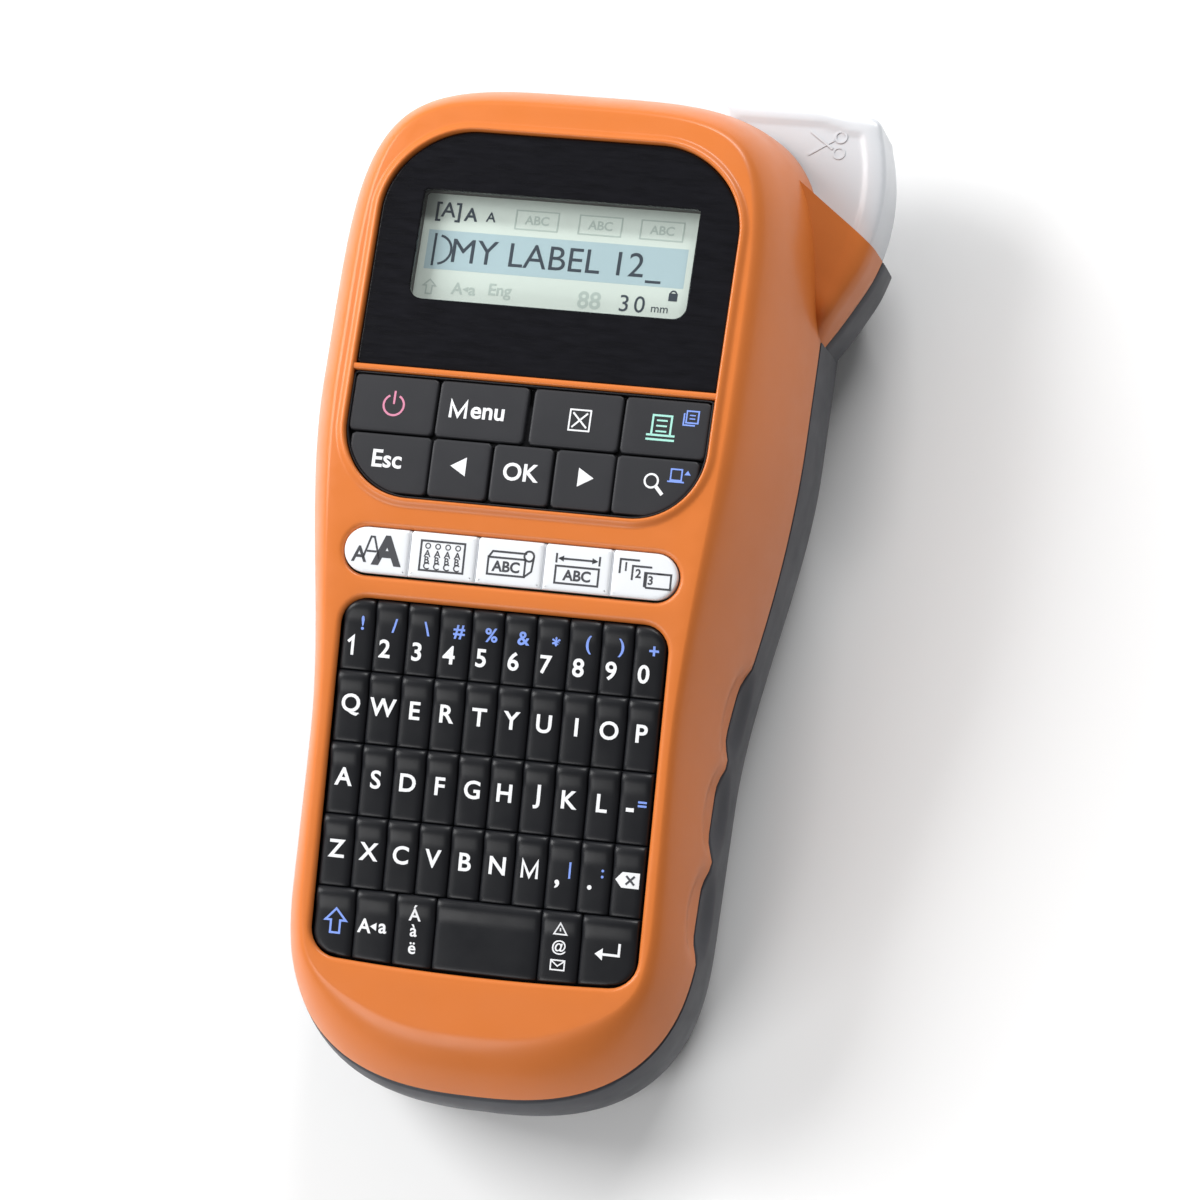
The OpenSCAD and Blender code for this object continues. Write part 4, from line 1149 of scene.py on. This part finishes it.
class Legend:
    """Flat shapes laid on a curved key top as one thin closed print."""

    def __init__(self, name, body, material, slot, onto, thick=0.05):
        self.bm = bmesh.new()
        self.name, self.body, self.material, self.slot = name, body, material, slot
        self.onto, self.thick = onto, thick
        self.origin = (0.0, 0.0)

    def at(self, x, y):
        """Sets the point from which the next shapes are placed."""
        self.origin = (x, y)
        return self

    def add(self, shape, x=0.0, y=0.0):
        """Moves a flat bmesh into place and cuts it into cells, so that it can follow a curved top."""
        bmesh.ops.translate(shape, vec=(self.origin[0] + x, self.origin[1] + y, 0), verts=shape.verts)
        for axis in (0, 1):
            values = [v.co[axis] for v in shape.verts]
            for k in range(math.ceil(min(values) / PRINT_CELL), math.floor(max(values) / PRINT_CELL) + 1):
                co, no = [0, 0, 0], [0, 0, 0]
                co[axis], no[axis] = k * PRINT_CELL, 1
                geom = shape.verts[:] + shape.edges[:] + shape.faces[:]
                bmesh.ops.bisect_plane(shape, geom=geom, plane_co=co, plane_no=no)
        mesh = bpy.data.meshes.new("part")
        shape.to_mesh(mesh)
        shape.free()
        self.bm.from_mesh(mesh)
        bpy.data.meshes.remove(mesh)
        return self

    def text(self, text, size, x=0.0, y=0.0, bold=0.02):
        return self.add(glyphs(text, size, bold), x, y)

    def line(self, points, width, closed=False):
        return self.add(ribbon(points, width, closed))

    def bar(self, half, width, y=0.0):
        return self.line([(-half, y), (half, y)], width)

    def cross(self, reach, width):
        self.line([(-reach, reach), (reach, -reach)], width)
        return self.line([(-reach, -reach), (reach, reach)], width)

    def fill(self, points):
        return self.add(patch(points))

    def done(self):
        """Gives the print its thickness and lays it on the key."""
        bm = self.bm
        if not bm.faces:
            bm.free()
            return
        made = bmesh.ops.extrude_face_region(bm, geom=bm.faces[:], use_keep_orig=True)["geom"]
        top = {v for v in made if isinstance(v, bmesh.types.BMVert)}
        for v in bm.verts:
            v.co = Vector(self.onto(v.co.x, v.co.y, self.thick if v in top else -PRINT_SINK))
        place(to_object(bm, self.name, 30), self.body, MAT[self.material])


def onto_key(row, start, span):
    """Places a print on one key's top."""
    x0, x1 = key_span(start, span)

    def onto(u, v, w):
        a = (u - key_x(start, span)) / ((x1 - x0) / 2)
        b = (v - row_v(row)) / ((ROW - KEY_GAP) / 2)
        return pad_plane(u, v, key_relief(a, b) + w)
    return onto


def onto_row(row):
    """Places a print on the tops of a row of ten keys."""
    def onto(u, v, w):
        column = min(9, max(0, math.floor(u / PITCH + 5)))
        return onto_key(row, column, 1)(u, v, w)
    return onto


def onto_func(x, y, w):
    return (x, y, face_z(y) - FUNC_DROP + w)


def onto_strip(u, v, w):
    return strip_plane(u, v, STRIP_TOP + w)


def onto_lcd(x, y, w):
    return (x, y + LCD_Y, LCD_Z + w)


ROW_TEXT = ("1234567890", "QWERTYUIOP", "ASDFGHJKL-", "ZXCVBNM,.")
ROW_MARKS = (dict(enumerate("!/\\#%&*()+")), {}, {9: "="}, {7: "|", 8: ":"})
LETTER, DOT, MARK, SMALL_MARK = 5.0, 5.75, 3.8, 3.42
# Offsets from the middle of a key
LETTER_AT, DIGIT_AT, MARK_AT, SMALL_MARK_AT = (0, 0.3), (-0.8, -2.4), (0.9, 2.3), (1.5, 0.9)
DOT_AT = {",": (-0.9, -2.0), ".": (-0.9, -2.0), "-": (-0.9, -0.4)}
# Characters drawn as one stroke: its points and its width
STROKED = {"1": ([(-1.0, 0.75), (0.0, 1.7), (0.0, -1.85)], 0.58),
           "M": ([(-1.5, -1.8), (-1.5, 1.55), (0.0, -1.4), (1.5, 1.55), (1.5, -1.8)], 0.55)}


def up_arrow(top, half, neck, shoulder, foot):
    return [(0, top), (half, shoulder), (neck, shoulder), (neck, foot), (-neck, foot), (-neck, shoulder),
            (-half, shoulder)]


def letter_legends():
    """Letters and digits in white, and the second signs in blue."""
    for row, name in enumerate(ROW_NAMES):
        def legend(tag, material):
            return Legend(name + tag, name, material, "key_rubber", onto_row(row))

        vc = row_v(row)
        white, blue = legend("_legend", "ink_white"), legend("_marks", "ink_blue")
        for i, ch in enumerate(ROW_TEXT[row]):
            dx, dy = DOT_AT.get(ch, LETTER_AT if row else DIGIT_AT)
            white.at(key_x(i) + dx, vc + dy)
            if ch in STROKED:
                white.line(*STROKED[ch])
            else:
                white.text(ch, DOT if ch in DOT_AT else LETTER)
        size, (dx, dy) = (SMALL_MARK, SMALL_MARK_AT) if row else (MARK, MARK_AT)
        for i, ch in ROW_MARKS[row].items():
            blue.text(ch, size, key_x(i) + dx, vc + dy)
        if row == len(ROW_NAMES) - 1:
            erase_sign(white, name, row)
        white.done()
        blue.done()


def erase_sign(white, name, row):
    """White tag with a dark cross on the last key of the row."""
    x, y = key_x(9), row_v(row) + 0.2
    white.at(x, y).fill([(-2.5, 0), (-1.1, 1.55), (2.4, 1.55), (2.4, -1.55), (-1.1, -1.55)])
    dark = Legend("erase_cross", name, "ink_dark", "key_rubber", onto_row(row), 0.09)
    dark.at(x + 0.55, y).cross(0.85, 0.42).done()


def low_legends():
    """Signs on the bottom row."""
    def legend(key, material="ink_white", dx=0.0, dy=0.0):
        start, span = next(entry[1:] for entry in LOW_KEYS if entry[0] == key + "_key")
        sign = Legend(key + "_legend", key + "_key", material, "key_rubber", onto_key(4, start, span))
        return sign.at(key_x(start, span) + dx, row_v(4) + dy)

    legend("shift", "ink_blue", 0.4, 0.2).line(up_arrow(2.6, 2.1, 0.95, 0.3, -2.2), 0.42, True).done()
    caps = legend("caps").text("A", 3.9, -1.9).text("a", 3.9, 1.9, -0.2)
    caps.fill([(-0.7, 0), (0.6, 0.8), (0.6, -0.8)]).done()
    accent = legend("accent")
    for i, ch in enumerate("Áàë"):
        accent.text(ch, 3.5, 0, 3.6 - i * 3.5, 0.015)
    accent.done()
    symbol = legend("symbol").line([(-1.3, 2.6), (0, 4.8), (1.3, 2.6)], 0.28, True)
    symbol.line([(0, 3.2), (0, 3.85)], 0.26).text("@", 3.0, bold=0.01)
    symbol.line(box(-1.4, 1.4, -4.45, -2.55), 0.28, True)
    symbol.line([(-1.4, -2.6), (0, -3.7), (1.4, -2.6)], 0.26).done()
    enter = legend("enter", dy=0.2).line([(2.2, 1.8), (2.2, -0.6), (-1.4, -0.6)], 0.5)
    enter.fill([(-2.7, -0.6), (-1.1, 0.6), (-1.1, -1.8)]).done()


def func_legends():
    """Signs on the function keys."""
    def legend(name, material, x, y, tag="legend"):
        return Legend(name + "_" + tag, name, material, "function_rubber", onto_func).at(x, y)

    top, low = FUNC_ROWS[0][0], FUNC_ROWS[1][0]
    power = legend("power_key", "ink_pink", -28, top - 0.2)
    power.line(arc(0, 0, 2.1, 118, 422, 28), 0.42).line([(0, 0.2), (0, 2.9)], 0.42).done()
    legend("menu_key", "ink_white", -8.5, top - 0.35).text("enu", FUNC_TEXT).done()
    initial = [(-1.55, -1.75), (-1.55, 1.5), (0.0, -1.3), (1.55, 1.5), (1.55, -1.75)]
    legend("menu_key", "ink_white", -14.55, top + 0.05, "initial").line(initial, 0.6).done()
    cancel = legend("cancel_key", "ink_white", 10.5, top)
    cancel.line(box(-2.1, 2.1, -2.1, 2.1), 0.32, True).cross(1.5, 0.36).done()
    page = legend("print_key", "ink_mint", 27.2, top)
    page.line([(-1.9, -1.6), (-1.9, 2.4), (1.9, 2.4), (1.9, -1.6)], 0.4)
    page.bar(2.9, 0.42, -1.6).bar(2.9, 0.42, -2.5)
    for k in range(3):
        page.bar(1.1, 0.34, 1.4 - k * 1.1)
    page.done()
    copies = legend("print_key", "ink_blue", 33.2, top + 2.6, "copies")
    copies.line(box(-1.2, 1.2, -1.2, 1.2), 0.3, True).line([(-1.7, 0.7), (-1.7, -1.7), (0.7, -1.7)], 0.3)
    copies.bar(0.6, 0.24, 0.35).bar(0.6, 0.24, -0.35).done()
    legend("escape_key", "ink_white", -27.8, low + 0.8).text("Esc", FUNC_TEXT).done()
    legend("left_key", "ink_white", -12.9, low + 0.6).fill([(-1.7, 0), (1.5, 1.9), (1.5, -1.9)]).done()
    legend("ok_key", "ink_white", 0, low + 0.5).text("OK", FUNC_TEXT).done()
    legend("right_key", "ink_white", 13.2, low + 0.6).fill([(-1.5, -1.9), (-1.5, 1.9), (1.7, 0)]).done()
    look = legend("preview_key", "ink_white", 26.6, low + 1.2)
    look.line(arc(0, 0, 1.35, 0, 345, 23), 0.4, True).line([(1.0, -1.0), (2.5, -2.6)], 0.72).done()
    feed = legend("preview_key", "ink_blue", 31.6, low + 2.7, "feed")
    feed.line(box(-1.2, 1.0, 1.2, -1.0), 0.3, True).line([(-1.8, -1.3), (1.6, -1.3)], 0.3)
    feed.fill([(1.5, 0.2), (2.8, 0.2), (2.15, 1.1)]).done()


def strip_legends():
    """Signs on the quick keys."""
    def legend(name, x=0.0, y=0.0):
        return Legend(name + "_legend", name, "ink_dark", "white_plastic", onto_strip, 0.035).at(x, y)

    pen = 0.4
    style = legend("style_key", -28.5, 0.4).text("A", 4.4, -2.5, -1.3).text("A", 7.8, 3.2, -0.25, 0.045)
    style.line([(-1.7, -2.1), (-0.35, 2.3), (0.35, 2.3), (1.7, -2.1)], pen).bar(1.0, pen, -0.6).done()
    grid = legend("frame_key", -13.9).line(box(-4.5, 4.5, -3.0, 2.9), pen, True)
    for k in range(4):
        grid.at(-17.0 + 2.07 * k, 0).line(arc(0, 1.9, 0.5, 0, 330, 11), 0.22, True)
        grid.text("A", 1.9, 0, 0.4).text("B", 1.9, 0, -0.9).text("C", 1.9, 0, -2.1)
    grid.done()
    tape = legend("cassette_key", 0, -0.1).line(box(-4.4, 3.2, -2.4, 1.0), pen, True)
    tape.text("ABC", 2.9, -0.7, -0.7, 0.03).line([(-4.4, 1.0), (-3.6, 2.2), (3.4, 2.2)], pen)
    tape.line([(3.2, -2.4), (4.6, -1.2), (4.9, 1.8)], pen)
    tape.line(arc(3.9, 1.75, 1.0, 0, 345, 18), pen, True).done()
    width = legend("width_key", 13.9).line(box(-4.4, 4.4, -3.0, 0.4), pen, True)
    width.text("ABC", 2.9, 0, -1.3, 0.03).bar(3.8, pen, 1.9)
    for k in (-1, 1):
        width.line([(4.4 * k, 1.0), (4.4 * k, 2.9)], pen)
        width.fill([(4.1 * k, 1.9), (2.9 * k, 2.5), (2.9 * k, 1.3)])
    width.done()
    cards = legend("number_key")
    for k, ch in enumerate("123"):
        cards.at(23.6 + 2.6 * k, 1.6 - 1.15 * k).line([(-1.1, -1.5), (-1.1, 1.3), (2.8, 1.3)], pen)
        cards.text(ch, 2.4, 0.1, -0.1, 0.025)
    cards.at(0, 0).line([(28.0, -2.3), (33.0, -2.3), (33.0, 0.6), (30.3, 0.6)], pen)
    cards.line([(28.0, -2.3), (28.0, 0.5)], pen).done()


def lcd_legends():
    """Generic picture on the screen: size marks, a line of text in a tinted band, and small signs."""
    def legend(name, material, thick):
        return Legend(name, "root", material, "lcd", onto_lcd, thick)

    legend("lcd_band", "lcd_band", 0.02).fill(box(-27.6, 26.4, -3.9, 4.3)).done()
    ink = legend("lcd_text", "lcd_ink", 0.05)
    ink.text("MY LABEL 12", 7.2, -2.2, 0.3, 0.0).line([(18.4, -3.0), (21.6, -3.0)], 0.55)
    ink.line([(-26.0, -3.2), (-26.0, 3.6)], 0.5).line(arc(-25.4, 0.2, 3.0, -80, 80, 12), 0.5)
    ink.text("[A]", 4.4, -24.2, 8.2, 0.012).text("A", 3.9, -19.4, 8.0).text("A", 2.9, -15.2, 7.8, 0.01)
    ink.text("3", 4.9, 14.8, -7.8, 0.0).text("0", 4.9, 18.0, -7.8, 0.0).text("mm", 2.4, 22.2, -8.6, 0.0)
    ink.at(24.6, -5.7).fill(box(-0.9, 0.9, -0.9, 0.7)).line(arc(0, 0.6, 0.6, 0, 180, 8), 0.3).done()
    faint = legend("lcd_faint", "lcd_faint", 0.04)
    for x in (-5.6, 7.6, 20.4):
        faint.at(x, 7.8).line(box(-4.4, 4.4, -2.0, 1.9), 0.28, True).text("ABC", 2.6)
    faint.at(-25.8, -7.6).line(up_arrow(1.5, 1.3, 0.6, 0.2, -1.5), 0.28, True)
    faint.at(0, -7.6).text("A◂a", 3.4, -18.6).text("Eng", 3.4, -11.0).text("88", 4.9, 7.6, -0.2).done()


def scissors():
    """Raised scissors sign on the lever, with one blade a little higher than the other."""
    def onto(x, y, w):
        return (x, y, LEVER_Z[1] - 0.47 + w)

    for k in (-1, 1):
        sign = Legend("lever_sign", "cutter_lever", "lever", "white_plastic", onto, 0.18 + 0.03 * k)
        sign.at(46.3, 98.6).line([(-3.6, 2.5 * k), (0.4, -0.3 * k), (1.3, -0.9 * k)], 0.42)
        sign.line(arc(2.7, 1.7 * k, 1.15, 0, 340, 18), 0.36, True).done()


# ---------------------------------------------------------------- the CAD nodes that stay in view
KEPT = {
    "case_screws": "steel", "lcd_holder": "bezel", "display_board": "board", "key_board": "board",
    "keypad_mat": "key", "inner_chassis": "chassis", "lever_pin": "steel", "lever_spring": "steel",
    "blade_carrier": "gear", "cutter_blade": "steel", "print_head": "ceramic", "head_sink": "chassis",
    "platen_roller": "platen", "platen_shaft": "steel", "platen_gear": "gear", "drive_motor": "steel",
    "motor_pinion": "brass", "reduction_gear": "gear", "idler_gear": "gear", "ribbon_spindle": "gear",
    "cassette_shell": "cassette", "tape_roll": "tape", "ribbon_supply": "ribbon", "ribbon_takeup": "ribbon",
    "label_tape": "tape", "batteries": "cell", "battery_contacts": "nickel", "dc_jack": "jack",
}


def kept_nodes():
    for name, key in KEPT.items():
        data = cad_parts[name].data
        data.materials.clear()
        data.materials.append(MAT[key])


# ---------------------------------------------------------------- floor, light and camera
def floor():
    bm = bmesh.new()
    bmesh.ops.create_grid(bm, x_segments=8, y_segments=8, size=3.0)
    obj = to_object(bm, "studio_floor", 30, 1)
    mat, tree, shader = principled("studio_paper", (0.90, 0.90, 0.90), 0.9)
    shades(tree, noise(tree, 3, 2), (0.89, 0.89, 0.89), 0.004, shader.inputs["Base Color"])
    obj.data.materials.append(mat)


# Name, place, aim, size and power in watts of each light
LIGHTS = (
    ("key", (-1.05, 0.35, 0.85), (0, 0, 0.03), (0.8, 0.8), 19.0),
    ("top", (0.22, 1.05, 0.78), (0, 0.05, 0.05), (0.7, 0.2), 12.0),
    ("front", (-0.6, -0.9, 0.85), (0, 0, 0.03), (0.8, 0.6), 8.0),
)
SKY = 0.24


def area_light(name, at, aim, size, watts):
    data = bpy.data.lights.new(name, "AREA")
    data.shape = "RECTANGLE"
    data.size, data.size_y = size
    data.energy = watts
    obj = bpy.data.objects.new(name, data)
    obj.location = at
    obj.rotation_euler = (Vector(aim) - Vector(at)).to_track_quat("-Z", "Y").to_euler()
    bpy.context.scene.collection.objects.link(obj)


def studio():
    """White sky and the three area lights."""
    scene = bpy.context.scene
    world = bpy.data.worlds.new("studio")
    world.use_nodes = True
    sky = world.node_tree.nodes["Background"]
    sky.inputs["Color"].default_value = (1, 1, 1, 1)
    sky.inputs["Strength"].default_value = SKY
    scene.world = world
    scene.view_settings.view_transform = "Standard"
    for light in LIGHTS:
        area_light(*light)


CAM_YAW, CAM_PITCH, CAM_ROLL = (math.radians(a) for a in (15, 12.42, 5.46))
DISTANCE = 1.100
SENSOR, LENS = 36, 164.67
CLIP = (0.05, 20)
TARGET = Vector((-0.0013, 0, 0.0416))
# How far the aim lies to the side of the target and above it
OFFSET = (0.01597, -0.00380)


def camera():
    up = Vector((0, math.cos(CAM_PITCH), math.sin(CAM_PITCH)))
    out = Vector((0, -math.sin(CAM_PITCH), math.cos(CAM_PITCH)))
    across = Vector((1, 0, 0))
    back = out * math.cos(CAM_YAW) + across * math.sin(CAM_YAW)
    right = across * math.cos(CAM_YAW) - out * math.sin(CAM_YAW)
    side = math.cos(CAM_ROLL) * right + math.sin(CAM_ROLL) * up
    top = -math.sin(CAM_ROLL) * right + math.cos(CAM_ROLL) * up
    eye = TARGET + DISTANCE * back
    aim = TARGET + OFFSET[0] * side + OFFSET[1] * top
    look = (eye - aim).normalized()
    side = top.cross(look).normalized()
    top = look.cross(side)
    data = bpy.data.cameras.new("camera")
    data.sensor_width, data.lens = SENSOR, LENS
    data.clip_start, data.clip_end = CLIP
    obj = bpy.data.objects.new("camera", data)
    obj.matrix_world = Matrix((side, top, look)).transposed().to_4x4()
    obj.location = eye
    bpy.context.scene.collection.objects.link(obj)
    bpy.context.scene.camera = obj


front_shell()
divider()
shoulder()
rear_case()
deck()
back_cover()
window()
lcd()
function_pad()
strip_keys()
strip_ribs()
letter_keys()
lever()
scissors()
letter_legends()
low_legends()
func_legends()
strip_legends()
lcd_legends()
kept_nodes()
floor()
studio()
camera()
